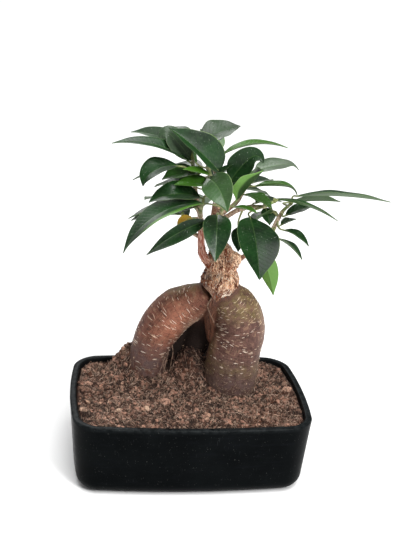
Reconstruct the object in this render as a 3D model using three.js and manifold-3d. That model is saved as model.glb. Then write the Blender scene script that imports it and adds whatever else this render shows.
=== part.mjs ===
// A ficus ginseng bonsai in its glazed pot: swollen roots that stand in soil, a scarred trunk and
// leafy shoots. Millimetres, +Z up. The origin is the middle of the pot's foot, +X runs along the
// pot's long side and -Y is the front.
import * as THREE from "three";
import Module from "manifold-3d";
import { mergeVertices } from "three/addons/utils/BufferGeometryUtils.js";

const wasm = await Module();
wasm.setup();

// Pot
const POT_LENGTH = 180; // between the side walls, measured beside the rounded corners
const POT_DEPTH = 119;
const POT_HEIGHT = 60;
const POT_BULGE = 4.7; // each wall bows out by this much at its middle
const POT_CORNER = 17;
const POT_CORNER_LEAST = 3;
const POT_TAPER = 4.2; // the foot is this much smaller than the rim, on each side
const POT_FOOT_ROUND = 10;
const POT_WALL = 5.2;
const POT_FLOOR = 7;
const POT_LIP = 1.4; // radius of the rounded lip
const RIM_BAND = 8; // the wall stands straight for this far below the rim
const INNER_RIM_BAND = 12;
const INNER_FOOT_ROUND = 6;
const DRAIN_RADIUS = 5;
const DRAIN_X = 45;
const DRAIN_SIDES = 16;
const POT_CORNER_STEPS = 5;
const POT_SIDE_STEPS = 4;
const BULGE_SHARPNESS = 6; // how soon the bulge fades away from the wall

// Soil
const SOIL_LEVEL = 56.5; // along the pot's wall
const SOIL_RINGS = [1, 0.93, 0.82, 0.7, 0.58, 0.46, 0.33, 0.18]; // shares of the way to the wall
const GAP = 0.35; // between pieces that only touch

// Leaves
const BLADE_THICKNESS = 0.8;
const PETIOLE_RADIUS = 0.8;
const PETIOLE_SEAT = 2.5; // how far a leaf's stalk runs into its blade
const PETIOLE_ARCH = 0.35; // share of the stalk's length that lies in line with the blade
const PETIOLE_SIDES = 3;
const PETIOLE_STEPS = 2;
const STEM_SIDES = 5;
const STEM_STEPS = 4;
const LEAF_SHAPE = [
  [0, 0.05], // share of the blade's length, share of its half width
  [0.07, 0.36],
  [0.2, 0.77],
  [0.38, 1],
  [0.57, 0.93],
  [0.75, 0.64],
  [0.9, 0.26],
  [1, 0.03],
];
const CURL_START = 0.62; // share of the blade's length from which it may curl under
const CURL_END = 1.1; // past the tip, so the curl still tightens there
const BEND_STEPS = 12; // straight runs between two rings of a blade

const WELD = 1e-4; // vertices closer than this are one

const vector = (p) => new THREE.Vector3(...p);
const radians = THREE.MathUtils.degToRad;

// Solids

function solidOf(geometry) {
  const bare = geometry.clone();
  bare.deleteAttribute("normal");
  bare.deleteAttribute("uv");
  const merged = mergeVertices(bare, WELD);
  return new wasm.Manifold(
    new wasm.Mesh({
      numProp: 3,
      vertProperties: merged.attributes.position.array,
      triVerts: new Uint32Array(merged.index.array),
    }),
  );
}

function geometryOf(solid) {
  const mesh = solid.getMesh();
  const geometry = new THREE.BufferGeometry();
  geometry.setAttribute("position", new THREE.BufferAttribute(mesh.vertProperties, 3));
  geometry.setIndex(new THREE.BufferAttribute(mesh.triVerts, 1));
  geometry.computeVertexNormals();
  return geometry;
}

// The solids fused in one: a hollow that fusing seals is filled, and loose scraps are dropped.
function joined(solids) {
  const bodies = solids.reduce((whole, solid) => whole.add(solid)).decompose();
  return bodies.reduce((largest, body) => (body.volume() > largest.volume() ? body : largest));
}

// A closed solid through rings of points, each ring with the same count, closed by a fan at both ends.
function loft(rings) {
  const count = rings[0].length;
  const positions = [];
  const faces = [];
  for (const ring of rings) for (const p of ring) positions.push(p.x, p.y, p.z);
  for (let i = 0; i + 1 < rings.length; i++) {
    for (let j = 0; j < count; j++) {
      const a = i * count + j;
      const b = i * count + ((j + 1) % count);
      faces.push(a, b, b + count, a, b + count, a + count);
    }
  }
  for (const end of [0, rings.length - 1]) {
    const middle = new THREE.Vector3();
    for (const p of rings[end]) middle.addScaledVector(p, 1 / count);
    const hub = positions.length / 3;
    positions.push(middle.x, middle.y, middle.z);
    for (let j = 0; j < count; j++) {
      const a = end * count + j;
      const b = end * count + ((j + 1) % count);
      if (end === 0) faces.push(hub, b, a);
      else faces.push(hub, a, b);
    }
  }
  const geometry = new THREE.BufferGeometry();
  geometry.setAttribute("position", new THREE.Float32BufferAttribute(positions, 3));
  geometry.setIndex(faces);
  return geometry;
}

function curveThrough(points) {
  const vectors = points.map(([x, y, z]) => new THREE.Vector3(x, y, z));
  return new THREE.CatmullRomCurve3(vectors, false, "centripetal");
}

// A limb of round section: stops are [x, y, z, radius], eased along a curve. extra widens it all over.
function limb(stops, sides, steps, extra = 0) {
  const path = curveThrough(stops);
  const sizes = curveThrough(stops.map(([, , , radius], i) => [i, radius, 0]));
  const start = path.getTangent(0);
  const runsAlongX = Math.abs(start.x) > Math.abs(start.y);
  const side = runsAlongX ? new THREE.Vector3(0, 1, 0) : new THREE.Vector3(1, 0, 0);
  const rings = [];
  for (let i = 0; i <= steps; i++) {
    const t = i / steps;
    const forward = path.getTangent(t);
    side.addScaledVector(forward, -side.dot(forward)).normalize();
    const across = new THREE.Vector3().crossVectors(forward, side);
    const centre = path.getPoint(t);
    if (extra > 0 && i === 0) centre.addScaledVector(forward, -extra);
    if (extra > 0 && i === steps) centre.addScaledVector(forward, extra);
    const radius = sizes.getPoint(t).y + extra;
    const ring = [];
    for (let j = 0; j < sides; j++) {
      const angle = (2 * Math.PI * j) / sides;
      const p = centre.clone();
      p.addScaledVector(side, radius * Math.cos(angle));
      p.addScaledVector(across, radius * Math.sin(angle));
      ring.push(p);
    }
    rings.push(ring);
  }
  return solidOf(loft(rings));
}

// Pot: a rounded rectangle whose walls bow out, lofted up the outside, over the rim and down the inside

function potOutline(inset, z) {
  const halfLength = POT_LENGTH / 2 - inset;
  const halfDepth = POT_DEPTH / 2 - inset;
  const corner = Math.max(POT_CORNER - inset, POT_CORNER_LEAST);
  const points = [];
  const quarter = [
    [1, 1, 0],
    [-1, 1, 90],
    [-1, -1, 180],
    [1, -1, 270],
  ];
  for (const [sx, sy, from] of quarter) {
    for (let i = 0; i <= POT_CORNER_STEPS; i++) {
      const angle = radians(from + (90 * i) / POT_CORNER_STEPS);
      const x = sx * (halfLength - corner) + corner * Math.cos(angle);
      const y = sy * (halfDepth - corner) + corner * Math.sin(angle);
      points.push([x, y]);
    }
    const [x0, y0] = points[points.length - 1];
    const alongX = from === 0 || from === 180;
    for (let i = 1; i < POT_SIDE_STEPS; i++) {
      const t = i / POT_SIDE_STEPS;
      points.push(alongX ? [x0 * (1 - 2 * t), y0] : [x0, y0 * (1 - 2 * t)]);
    }
  }
  return points.map(([x, y]) => {
    const bowX = 1 - (y / halfDepth) ** 2;
    const bowY = 1 - (x / halfLength) ** 2;
    const px = x + Math.sign(x) * POT_BULGE * bowX * Math.abs(x / halfLength) ** BULGE_SHARPNESS;
    const py = y + Math.sign(y) * POT_BULGE * bowY * Math.abs(y / halfDepth) ** BULGE_SHARPNESS;
    return new THREE.Vector3(px, py, z);
  });
}

function makePot() {
  const lean = (z) => POT_TAPER * (1 - z / POT_HEIGHT);
  const rows = [[POT_TAPER + POT_FOOT_ROUND, 0]]; // inset from the rim's outline, height
  for (const angle of [30, 60, 90]) {
    const out = POT_FOOT_ROUND * (1 - Math.sin(radians(angle)));
    const z = POT_FOOT_ROUND * (1 - Math.cos(radians(angle)));
    rows.push([lean(z) + out, z]);
  }
  rows.push([lean(POT_HEIGHT - RIM_BAND), POT_HEIGHT - RIM_BAND]);
  rows.push([0, POT_HEIGHT - POT_LIP]);
  rows.push([POT_LIP, POT_HEIGHT]);
  rows.push([POT_WALL - POT_LIP, POT_HEIGHT]);
  rows.push([POT_WALL, POT_HEIGHT - POT_LIP]);
  rows.push([POT_WALL + lean(POT_HEIGHT - INNER_RIM_BAND), POT_HEIGHT - INNER_RIM_BAND]);
  rows.push([POT_WALL + POT_TAPER, POT_FLOOR + INNER_FOOT_ROUND]);
  rows.push([POT_WALL + POT_TAPER + INNER_FOOT_ROUND, POT_FLOOR]);
  const shell = solidOf(loft(rows.map(([inset, z]) => potOutline(inset, z))));
  const drains = [-DRAIN_X, DRAIN_X].map((x) => {
    const drill = new THREE.CylinderGeometry(DRAIN_RADIUS, DRAIN_RADIUS, 3 * POT_FLOOR, DRAIN_SIDES);
    drill.rotateX(Math.PI / 2);
    drill.translate(x, 0, POT_FLOOR / 2);
    return solidOf(drill);
  });
  return drains.reduce((pot, drain) => pot.subtract(drain), shell);
}

// Roots, trunk and branches: [x, y, z, radius] from the neck outward

const LIMBS = {
  rightLeg: {
    stops: [
      [26.5, 15, 138.6, 8.8],
      [30.6, 16.5, 133, 13],
      [35, 17.5, 126, 17.5],
      [39, 18, 117, 19.4],
      [41, 18, 104, 20.2],
      [38.5, 17.5, 91, 21],
      [36.5, 17, 76, 21.5],
      [35.5, 16.5, 60, 21.5],
      [35, 17, 43, 17],
      [35, 18, 26, 7],
    ],
    sides: 15,
    steps: 12,
  },
  leftLeg: {
    stops: [
      [11, 13, 138.5, 8.6],
      [6, 17.2, 133.4, 12],
      [-0.5, 22, 127, 15],
      [-10, 25.5, 120, 17],
      [-19, 27, 109.5, 17.6],
      [-26, 28, 96.5, 16.6],
      [-30.4, 28.5, 82, 15.5],
      [-33, 29, 66, 15.7],
      [-35, 29, 48, 13.5],
      [-36, 30, 28, 6],
    ],
    sides: 15,
    steps: 12,
  },
  rearLeg: {
    stops: [
      [20, 22, 138, 12],
      [16, 30, 124, 12.5],
      [12, 36, 104, 12],
      [9, 39, 84, 11.5],
      [8, 40, 64, 11],
      [7, 40, 44, 9],
      [7, 40, 28, 5],
    ],
    sides: 12,
    steps: 9,
  },
  rearProp: {
    stops: [
      [13, 30, 130, 9],
      [4, 36, 120, 10.5],
      [-4, 41, 106, 11.5],
      [-10, 44, 90, 12],
      [-13, 45, 74, 11.5],
      [-14, 45, 56, 10],
      [-14, 45, 36, 5],
    ],
    sides: 12,
    steps: 9,
  },
  neck: {
    stops: [
      [16.6, 10, 134, 3.2],
      [17.8, 11, 138, 5.4],
      [20, 14, 143.2, 10.2],
      [21.2, 16.2, 147.4, 15],
      [20.6, 16.5, 152, 11.6],
      [19.4, 16, 158.5, 10.4],
      [19.4, 16, 165, 10.2],
      [19.6, 16, 171, 9],
      [19.4, 16, 176.5, 6.2],
    ],
    sides: 14,
    steps: 11,
  },
  snag: {
    stops: [
      [22, 13, 168, 5.6],
      [23.6, 11.5, 174, 3.4],
      [24.4, 10.5, 178.6, 1.5],
    ],
    sides: 7,
    steps: 3,
  },
  wedge: {
    stops: [
      [17, 12, 137, 4],
      [16.6, 11.5, 130, 3.2],
      [14.6, 13, 121, 4.6],
      [15.5, 16, 110, 4.2],
      [18, 21, 96, 3.2],
    ],
    sides: 7,
    steps: 6,
  },
  rightStub: {
    stops: [
      [26, 15, 158, 5.4],
      [30, 14, 165, 4.6],
      [31.8, 14, 172.4, 4.4],
    ],
    sides: 8,
    steps: 3,
  },
  leftBranch: {
    stops: [
      [14, 14, 162.5, 4.8],
      [8.6, 12.5, 167, 3.7],
      [4.8, 11, 172.5, 3.3],
      [3, 10, 180, 2.8],
      [2.1, 9, 191, 2.4],
      [1, 9, 202, 2.3],
    ],
    sides: 8,
    steps: 8,
  },
  leader: {
    stops: [
      [19, 17, 168, 6],
      [18.5, 16, 178, 4],
      [18.5, 15, 190, 3.3],
      [18, 15, 200, 3.1],
      [16, 14, 210, 2.8],
      [13, 13, 222, 2.6],
    ],
    sides: 8,
    steps: 7,
  },
  rightBranch: {
    stops: [
      [30, 15.5, 164, 2.6],
      [35, 16, 167, 1.9],
      [40, 16, 171.3, 1.8],
      [47, 15, 178, 1.8],
      [53, 13, 186, 1.8],
      [58, 11, 194, 1.9],
    ],
    sides: 6,
    steps: 7,
  },
  rearBranch: {
    stops: [
      [18, 20, 170, 4.6],
      [16, 30, 180, 3.4],
      [15.5, 38, 192, 2.8],
      [16.5, 43, 204, 2.3],
    ],
    sides: 7,
    steps: 5,
  },
};

function makeLimbs(names, extra = 0) {
  return joined(names.map((name) => limb(LIMBS[name].stops, LIMBS[name].sides, LIMBS[name].steps, extra)));
}

// The root, its trunk and branches, with a plain hole wherever a shoot stands in them.
function makeRoot() {
  const wood = makeLimbs(Object.keys(LIMBS));
  const stems = Object.values(SHOOTS).map(({ stem }) => limb(stem, STEM_SIDES, STEM_STEPS, GAP));
  return stems.reduce((left, stem) => left.subtract(stem), wood);
}

// Soil: fills the pot, heaped round the roots, with a plain hole for each leg

const HEAPS = [
  [-45, 35, 25, 12], // x, y, height, spread
  [2, 30, 20, 12],
  [26, 37, 12, 18],
  [-18, 12, 5, 26],
  [62, 30, -4, 22],
  [70, -30, -2, 22],
];

const HEAP_FADE = 0.32;
const WAVES = [
  [0.7, 0.31, 0.13, 0, 0.27, -0.08], // height, then the two waves it is the product of
  [0.5, 0.71, -0.53, 1, 0.83, 0.37],
];

// share is the way out from the middle to the wall, where every heap has run out.
function soilHeight(x, y, share) {
  let z = SOIL_LEVEL;
  const heaped = THREE.MathUtils.smoothstep(1 - share, 0, HEAP_FADE);
  for (const [hx, hy, height, spread] of HEAPS) {
    z += heaped * height * Math.exp(-((x - hx) ** 2 + (y - hy) ** 2) / (2 * spread ** 2));
  }
  for (const [height, ax, ay, phase, by, bx] of WAVES) {
    z += height * Math.sin(ax * x + ay * y + phase) * Math.cos(by * y + bx * x);
  }
  return z;
}

function makeSoil() {
  const wall = POT_WALL + 2 * GAP;
  const side = POT_WALL + POT_TAPER + GAP;
  const rings = [
    potOutline(side + INNER_FOOT_ROUND, POT_FLOOR + GAP),
    potOutline(side, POT_FLOOR + INNER_FOOT_ROUND + 2 * GAP),
  ];
  for (const share of SOIL_RINGS) {
    const ring = potOutline(wall, 0).map((p) => {
      p.multiplyScalar(share);
      p.z = soilHeight(p.x, p.y, share);
      return p;
    });
    rings.push(ring);
  }
  return solidOf(loft(rings)).subtract(makeLimbs(["rightLeg", "leftLeg", "rearLeg", "rearProp"], GAP));
}

// Leaves: a pointed oval blade, folded along its midrib and bent down, or curled under, toward its tip

function headingOf(turn, rise) {
  const flat = Math.cos(radians(rise));
  const x = flat * Math.cos(radians(turn));
  const y = flat * Math.sin(radians(turn));
  return new THREE.Vector3(x, y, Math.sin(radians(rise)));
}

// belly moves the widest place: toward the stalk above 1, toward the tip below 1.
function blade({ at, turn, rise, long, wide, roll = 0, droop = 20, fold = 18, curl = 0, belly = 1 }) {
  const pitch = (t) => rise - droop * t - curl * THREE.MathUtils.smoothstep(t, CURL_START, CURL_END);
  const top = [];
  const under = [];
  const centre = vector(at);
  const left = new THREE.Vector3(-Math.sin(radians(turn)), Math.cos(radians(turn)), 0);
  let before = 0;
  for (const [share, width] of LEAF_SHAPE) {
    const t = share ** belly;
    for (let i = 0; i < BEND_STEPS; i++) {
      const middle = before + ((t - before) * (i + 0.5)) / BEND_STEPS;
      centre.addScaledVector(headingOf(turn, pitch(middle)), (long * (t - before)) / BEND_STEPS);
    }
    before = t;
    const forward = headingOf(turn, pitch(t));
    const upward = new THREE.Vector3().crossVectors(forward, left);
    const side = left.clone().applyAxisAngle(forward, radians(roll));
    const normal = upward.clone().applyAxisAngle(forward, radians(roll));
    const reach = (wide / 2) * width;
    const out = reach * Math.cos(radians(fold));
    const lift = reach * Math.sin(radians(fold));
    for (const [list, offset] of [
      [top, BLADE_THICKNESS / 2],
      [under, -BLADE_THICKNESS / 2],
    ]) {
      for (const edge of [-1, 0, 1]) {
        const p = centre.clone().addScaledVector(side, edge * out);
        p.addScaledVector(normal, Math.abs(edge) * lift + offset);
        list.push(p);
      }
    }
  }
  // Ring order: across the top face from one edge to the other, then back along the under face.
  const rings = LEAF_SHAPE.map((_, i) => [
    top[3 * i],
    top[3 * i + 1],
    top[3 * i + 2],
    under[3 * i + 2],
    under[3 * i + 1],
    under[3 * i],
  ]);
  return solidOf(loft(rings.map((ring) => ring.reverse())));
}

function petiole(stem, node, leaf) {
  const from = stem.getPoint(node);
  const base = vector(leaf.at);
  const heading = headingOf(leaf.turn, leaf.rise);
  const to = base.clone().addScaledVector(heading, PETIOLE_SEAT);
  const bend = base.clone().addScaledVector(heading, -PETIOLE_ARCH * from.distanceTo(base));
  const stops = [from, bend, to].map((p) => [p.x, p.y, p.z, PETIOLE_RADIUS]);
  return limb(stops, PETIOLE_SIDES, PETIOLE_STEPS);
}

const SHOOTS = {
  shoot_top: {
    stem: [
      [12.7, 12.9, 222.6, 2.3],
      [11, 12, 234, 1.9],
      [8, 15, 247, 1.5],
      [4, 19, 258, 1],
    ],
    leaves: [
      {
        node: 0.4, at: [12.5, 10.6, 238.6], turn: 184, rise: 46, long: 51, wide: 32, roll: -44,
        droop: 15, fold: 34, belly: 1.35,
      },
      { node: 1, at: [-1, 22, 259.5], turn: 20, rise: 24, long: 34, wide: 25, roll: 20, droop: 16 },
      { node: 0.2, at: [9, 2, 230.8], turn: 192, rise: 6, long: 32, wide: 18, roll: -15, droop: 10 },
      {
        node: 0.3, at: [3, 2, 235.5], turn: -71, rise: 6, long: 40, wide: 23, roll: 36, droop: 60,
        fold: 14,
      },
      { node: 0.7, at: [16, 20, 250], turn: 8, rise: 29, long: 53, wide: 15, roll: -4, droop: 47 },
      {
        node: 0.3, at: [20.5, 6, 232], turn: -26, rise: 64, long: 38, wide: 22, roll: 70,
        droop: 26, curl: 135,
      },
      { node: 0.4, at: [11, 3, 238], turn: 20, rise: 40, long: 13, wide: 8, droop: 10 },
      { node: 0.9, at: [9, 27, 256], turn: 80, rise: 14, long: 46, wide: 25, droop: 34 },
      { node: 0.3, at: [4.2, 0, 238.6], turn: 186, rise: 16, long: 21, wide: 12, roll: -12, droop: 10 },
    ],
  },
  shoot_left: {
    stem: [
      [0.8, 9, 203, 2.1],
      [-3, 9, 216, 1.9],
      [-6, 10, 232, 1.6],
      [-8, 12, 247, 1.1],
    ],
    leaves: [
      { node: 0.95, at: [-12, 22, 250], turn: 158, rise: 32, long: 46, wide: 23, roll: -12, droop: 40 },
      { node: 0.9, at: [-10.5, 8, 245.8], turn: 184, rise: 36, long: 61, wide: 14, roll: -22, droop: 48 },
      {
        node: 0.95, at: [-8, 12, 246], turn: 176, rise: 50, long: 37, wide: 20, roll: -50,
        droop: 10, fold: 8, curl: 175,
      },
      {
        node: 0.75, at: [-19.5, 2, 243.8], turn: 206, rise: 13, long: 35, wide: 24, roll: -13,
        droop: 65, curl: 36, belly: 0.85,
      },
      { node: 0.7, at: [-12, 20, 238], turn: 160, rise: -8, long: 44, wide: 18, droop: 24 },
      { node: 0.7, at: [-3, 10, 237.4], turn: 192, rise: 3, long: 29, wide: 20, roll: -14, droop: 26 },
      { node: 1, at: [-10, 22, 253], turn: 112, rise: 24, long: 46, wide: 24, droop: 35 },
    ],
  },
  shoot_low_left: {
    stem: [
      [2.4, 8, 194, 1.8],
      [0, 1, 202, 1.6],
      [-1, -3, 211, 1.4],
      [0, -4, 219, 1],
    ],
    leaves: [
      {
        node: 0.35, at: [3.5, -5, 204.5], turn: 211, rise: -6, long: 57, wide: 15, roll: -66,
        droop: 26, fold: 34,
      },
      { node: 0.9, at: [-2, -2, 221.5], turn: 192, rise: 22, long: 41, wide: 24, roll: -22, droop: 52 },
      { node: 0.8, at: [-5, 6, 213], turn: 165, rise: -5, long: 53, wide: 20, droop: 26, belly: 0.8 },
      { node: 0.6, at: [-6, 4, 212], turn: 200, rise: 0, long: 26, wide: 14, roll: -10, droop: 20 },
    ],
  },
  yellow_leaf: {
    stem: [
      [-3, -0.6, 205.3, 0.9],
      [-7, -3.8, 206, 0.8],
    ],
    leaves: [
      { node: 1, at: [-7, -3.8, 206], turn: 206, rise: 2, long: 15, wide: 9.5, roll: -25, droop: 60 },
    ],
  },
  shoot_front: {
    stem: [
      [17.7, 12.6, 201, 1.9],
      [16, 5, 206, 1.7],
      [15, 0, 211, 1.4],
      [14, -4, 217, 1],
    ],
    leaves: [
      { node: 0.4, at: [11.5, -3, 209], turn: -97, rise: -5, long: 45, wide: 22, droop: 60 },
      {
        node: 0.9, at: [-1, -10, 219.5], turn: 197, rise: 8, long: 74, wide: 28, roll: -5,
        droop: 75, fold: 10,
      },
      { node: 0.7, at: [24, -4, 216], turn: -40, rise: 8, long: 20, wide: 10, droop: 20 },
    ],
  },
  shoot_mid_right: {
    stem: [
      [20.6, 14.4, 201.5, 1.9],
      [29, 9, 209.5, 1.8],
      [38, 4, 214, 1.6],
      [47, 0, 215.8, 1.4],
      [54, -1, 220, 1],
    ],
    leaves: [
      {
        node: 0.75, at: [34.8, -12, 210.5], turn: -88, rise: -13, long: 57, wide: 34.5, roll: -12,
        droop: 42, belly: 0.88,
      },
      { node: 0.35, at: [29, 1, 198.5], turn: -95, rise: -35, long: 21, wide: 12, droop: 20 },
      { node: 1, at: [55, 0, 222], turn: -18, rise: 2, long: 50, wide: 13, roll: -10, droop: 30 },
      { node: 0.5, at: [42, 8, 216], turn: 30, rise: 5, long: 27, wide: 18, droop: 20 },
    ],
  },
  shoot_right: {
    stem: [
      [58.4, 10.8, 194.9, 1.7],
      [61, 10, 203, 1.6],
      [64, 9, 210, 1.4],
      [69, 8, 216, 1],
    ],
    leaves: [
      { node: 1, at: [73, 6, 223.2], turn: -3, rise: 7, long: 73, wide: 20, roll: -12, droop: 16 },
      { node: 0.9, at: [71, 22, 213.2], turn: 14, rise: 5, long: 46, wide: 17, roll: -30, droop: 13 },
      { node: 0.6, at: [65, 4, 208], turn: 0, rise: 28, long: 23, wide: 13, roll: 14, droop: 14 },
      { node: 0.3, at: [62.5, 5, 200], turn: 8, rise: 28, long: 13, wide: 12, droop: 15 },
      { node: 0.2, at: [65, 2, 197], turn: -30, rise: -4, long: 23, wide: 13, droop: 40 },
      { node: 0.1, at: [61, -1, 191], turn: -45, rise: -10, long: 25, wide: 15, roll: -20, droop: 33 },
      { node: 0.05, at: [45.4, -2, 182], turn: 33, rise: -52, long: 48, wide: 17, roll: -40, droop: 22 },
      { node: 0.4, at: [57, 14, 207.5], turn: 200, rise: -6, long: 26, wide: 22, roll: 20, droop: 55 },
      { node: 0.4, at: [52, 18, 209.5], turn: -75, rise: -40, long: 15, wide: 13, droop: 15 },
    ],
  },
  shoot_upper_right: {
    stem: [
      [18.4, 14.4, 205, 1.9],
      [28, 14, 214, 1.7],
      [34, 15, 225, 1.5],
      [39, 16, 236, 1],
    ],
    leaves: [
      {
        node: 0.7, at: [41, 11, 228.4], turn: -13, rise: 12, long: 35, wide: 18, roll: -8,
        droop: 20, curl: 70,
      },
      {
        node: 1, at: [41.4, 18.6, 238], turn: 15, rise: 17, long: 39.5, wide: 16, roll: 22,
        droop: 22, curl: 50, belly: 1.25,
      },
      {
        node: 0.3, at: [26, 4, 218], turn: -36, rise: 58, long: 34, wide: 35, roll: 5, droop: 8,
        fold: 26, belly: 0.7,
      },
      { node: 0.8, at: [40, 22, 227.6], turn: 24, rise: 12, long: 21, wide: 20, droop: 26 },
      { node: 0.4, at: [32, 5, 223.2], turn: -42, rise: 0, long: 26, wide: 18, droop: 24 },
    ],
  },
  shoot_rear: {
    stem: [
      [16.6, 43.4, 204.6, 2],
      [15, 47, 214, 1.8],
      [12, 49, 224, 1.5],
      [10, 51, 233, 1],
    ],
    leaves: [
      { node: 0.3, at: [20, 50, 212], turn: 25, rise: 8, long: 52, wide: 26, roll: 5, droop: 34 },
      { node: 0.4, at: [2, 53, 214], turn: 138, rise: 6, long: 44, wide: 25, roll: -5, droop: 36 },
      { node: 0.6, at: [14, 57, 221], turn: 62, rise: 14, long: 50, wide: 25, droop: 40 },
      { node: 0.7, at: [3, 58, 222], turn: 112, rise: 16, long: 52, wide: 26, droop: 44 },
      { node: 0.2, at: [9, 56, 206], turn: 88, rise: -12, long: 54, wide: 28, droop: 40 },
      { node: 0.9, at: [1, 56, 233], turn: 142, rise: 28, long: 40, wide: 22, droop: 32 },
      { node: 1, at: [12, 58, 236], turn: 80, rise: 34, long: 42, wide: 22, droop: 30 },
    ],
  },
  shoot_low_rear: {
    stem: [
      [2.4, 10.4, 186, 1.8],
      [-5, 17, 189, 1.7],
      [-10, 23, 196, 1.4],
      [-12, 27, 204, 1],
    ],
    leaves: [
      { node: 1, at: [-16, 32, 207], turn: 128, rise: 6, long: 38, wide: 24, roll: -5, droop: 34 },
      { node: 0.7, at: [-14, 21, 201], turn: 176, rise: 2, long: 38, wide: 22, roll: -8, droop: 26 },
      { node: 0.8, at: [-6, 30, 197], turn: 122, rise: -4, long: 46, wide: 24, droop: 32 },
    ],
  },
};

// Assembly

const MATERIALS = {
  glaze: new THREE.MeshStandardMaterial({ color: 0x15181b, roughness: 0.3, metalness: 0 }),
  soil: new THREE.MeshStandardMaterial({ color: 0x4a3226, roughness: 1, metalness: 0 }),
  bark: new THREE.MeshStandardMaterial({ color: 0x8a5a48, roughness: 0.7, metalness: 0 }),
  leaf: new THREE.MeshStandardMaterial({ color: 0x274a2c, roughness: 0.4, metalness: 0 }),
  oldLeaf: new THREE.MeshStandardMaterial({ color: 0xb0a032, roughness: 0.5, metalness: 0 }),
};

const bonsai = new THREE.Group();
bonsai.name = "ficus_ginseng_bonsai";

function place(name, solid, material) {
  const mesh = new THREE.Mesh(geometryOf(solid), material);
  mesh.name = name;
  bonsai.add(mesh);
}

place("pot", makePot(), MATERIALS.glaze);
place("soil", makeSoil(), MATERIALS.soil);
place("ginseng_root", makeRoot(), MATERIALS.bark);

for (const [name, { stem, leaves }] of Object.entries(SHOOTS)) {
  const path = curveThrough(stem);
  const pieces = [limb(stem, STEM_SIDES, STEM_STEPS)];
  for (const leaf of leaves) {
    pieces.push(blade(leaf));
    pieces.push(petiole(path, leaf.node, leaf));
  }
  place(name, joined(pieces), name === "yellow_leaf" ? MATERIALS.oldLeaf : MATERIALS.leaf);
}

export default bonsai;
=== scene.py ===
"""The looks of a ficus ginseng bonsai in its glazed pot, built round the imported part.

Lengths are in millimetres here and are turned to metres where a mesh is made. +Z is up, +X runs
along the pot's long side and -Y is the front.
"""
import math

import bmesh
import bpy
import numpy as np
from mathutils import Euler, Matrix, Vector


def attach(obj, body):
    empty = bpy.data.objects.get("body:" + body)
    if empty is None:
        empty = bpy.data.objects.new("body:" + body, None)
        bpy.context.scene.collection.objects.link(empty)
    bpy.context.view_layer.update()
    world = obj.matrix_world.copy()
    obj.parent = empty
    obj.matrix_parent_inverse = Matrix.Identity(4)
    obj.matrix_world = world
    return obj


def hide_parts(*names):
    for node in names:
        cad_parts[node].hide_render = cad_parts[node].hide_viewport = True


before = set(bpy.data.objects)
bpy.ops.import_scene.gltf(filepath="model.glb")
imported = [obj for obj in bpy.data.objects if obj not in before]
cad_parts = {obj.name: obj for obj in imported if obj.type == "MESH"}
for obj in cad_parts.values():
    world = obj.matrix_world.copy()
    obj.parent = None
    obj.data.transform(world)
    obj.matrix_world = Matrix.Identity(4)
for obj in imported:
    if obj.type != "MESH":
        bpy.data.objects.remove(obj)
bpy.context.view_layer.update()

MM = 0.001
BODY = "root"
RNG = np.random.default_rng(20)


# Numbers: curves, noise and frames

def unit(v):
    return v / np.maximum(np.linalg.norm(v, axis=-1, keepdims=True), 1e-9)


def stack(*columns):
    return np.column_stack(columns)


def curve(points, shares):
    """Points on the centripetal curve through these points, at shares of its run from 0 to 1."""
    given = np.array(points, float)
    p = np.vstack([2 * given[0] - given[1], given, 2 * given[-1] - given[-2]])
    spans = len(given) - 1
    place = np.clip(np.asarray(shares, float) * spans, 0, spans)
    i = np.minimum(place.astype(int), spans - 1)
    w = (place - i)[:, None]
    p0, p1, p2, p3 = (p[i + k] for k in range(4))
    d0, d1, d2 = (
        np.sqrt(np.linalg.norm(b - a, axis=1, keepdims=True))
        for a, b in ((p0, p1), (p1, p2), (p2, p3))
    )
    t1 = ((p1 - p0) / d0 - (p2 - p0) / (d0 + d1) + (p2 - p1) / d1) * d1
    t2 = ((p2 - p1) / d1 - (p3 - p1) / (d1 + d2) + (p3 - p2) / d2) * d1
    return p1 + t1 * w + (3 * (p2 - p1) - 2 * t1 - t2) * w**2 + (2 * (p1 - p2) + t1 + t2) * w**3


def lattice(cells, seed):
    x, y, z = (cells[..., k].astype(np.int64) for k in range(3))
    n = (x * 73856093) ^ (y * 19349663) ^ (z * 83492791) ^ (seed * 2971215073)
    n = ((n ^ (n >> 13)) * 1274126177) & 0x7FFFFFFF
    n = ((n ^ (n >> 11)) * 668265263) & 0x7FFFFFFF
    return n / 0x3FFFFFFF - 1


def noise(points, size, seed=0, octaves=1):
    """Smooth noise from about -1 to 1, with lumps of this size in millimetres."""
    total, weight = np.zeros(len(points)), 0
    for octave in range(octaves):
        p = np.asarray(points, float) / size * 2**octave
        cell = np.floor(p)
        f = p - cell
        f = f * f * (3 - 2 * f)
        value = np.zeros(len(p))
        for corner in range(8):
            step = np.array([corner & 1, corner >> 1 & 1, corner >> 2])
            share = np.prod(np.where(step, f, 1 - f), axis=1)
            value += share * lattice(cell + step, seed + 17 * octave)
        total += value / 2**octave
        weight += 1 / 2**octave
    return total / weight


def smoothstep(x, low, high):
    t = np.clip((x - low) / (high - low), 0, 1)
    return t * t * (3 - 2 * t)


def heading(turn, rise):
    turn, rise = np.radians(turn), np.radians(rise)
    flat = np.cos(rise)
    return np.stack([flat * np.cos(turn), flat * np.sin(turn), np.sin(rise) + 0 * turn], axis=-1)


def between(places, steps, rows):
    """The rows' values at places between the steps that they stand at."""
    return stack(*(np.interp(places, steps, column) for column in rows.T))


def spine(stops, shares):
    """Centres and radii of a curve through stops of x, y, z and radius, at shares of its run."""
    stops = np.array(stops, float)
    radii = stack(np.arange(len(stops)), stops[:, 3], 0 * stops[:, 3])
    return curve(stops[:, :3], shares), curve(radii, shares)[:, 1]


# Meshes

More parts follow.
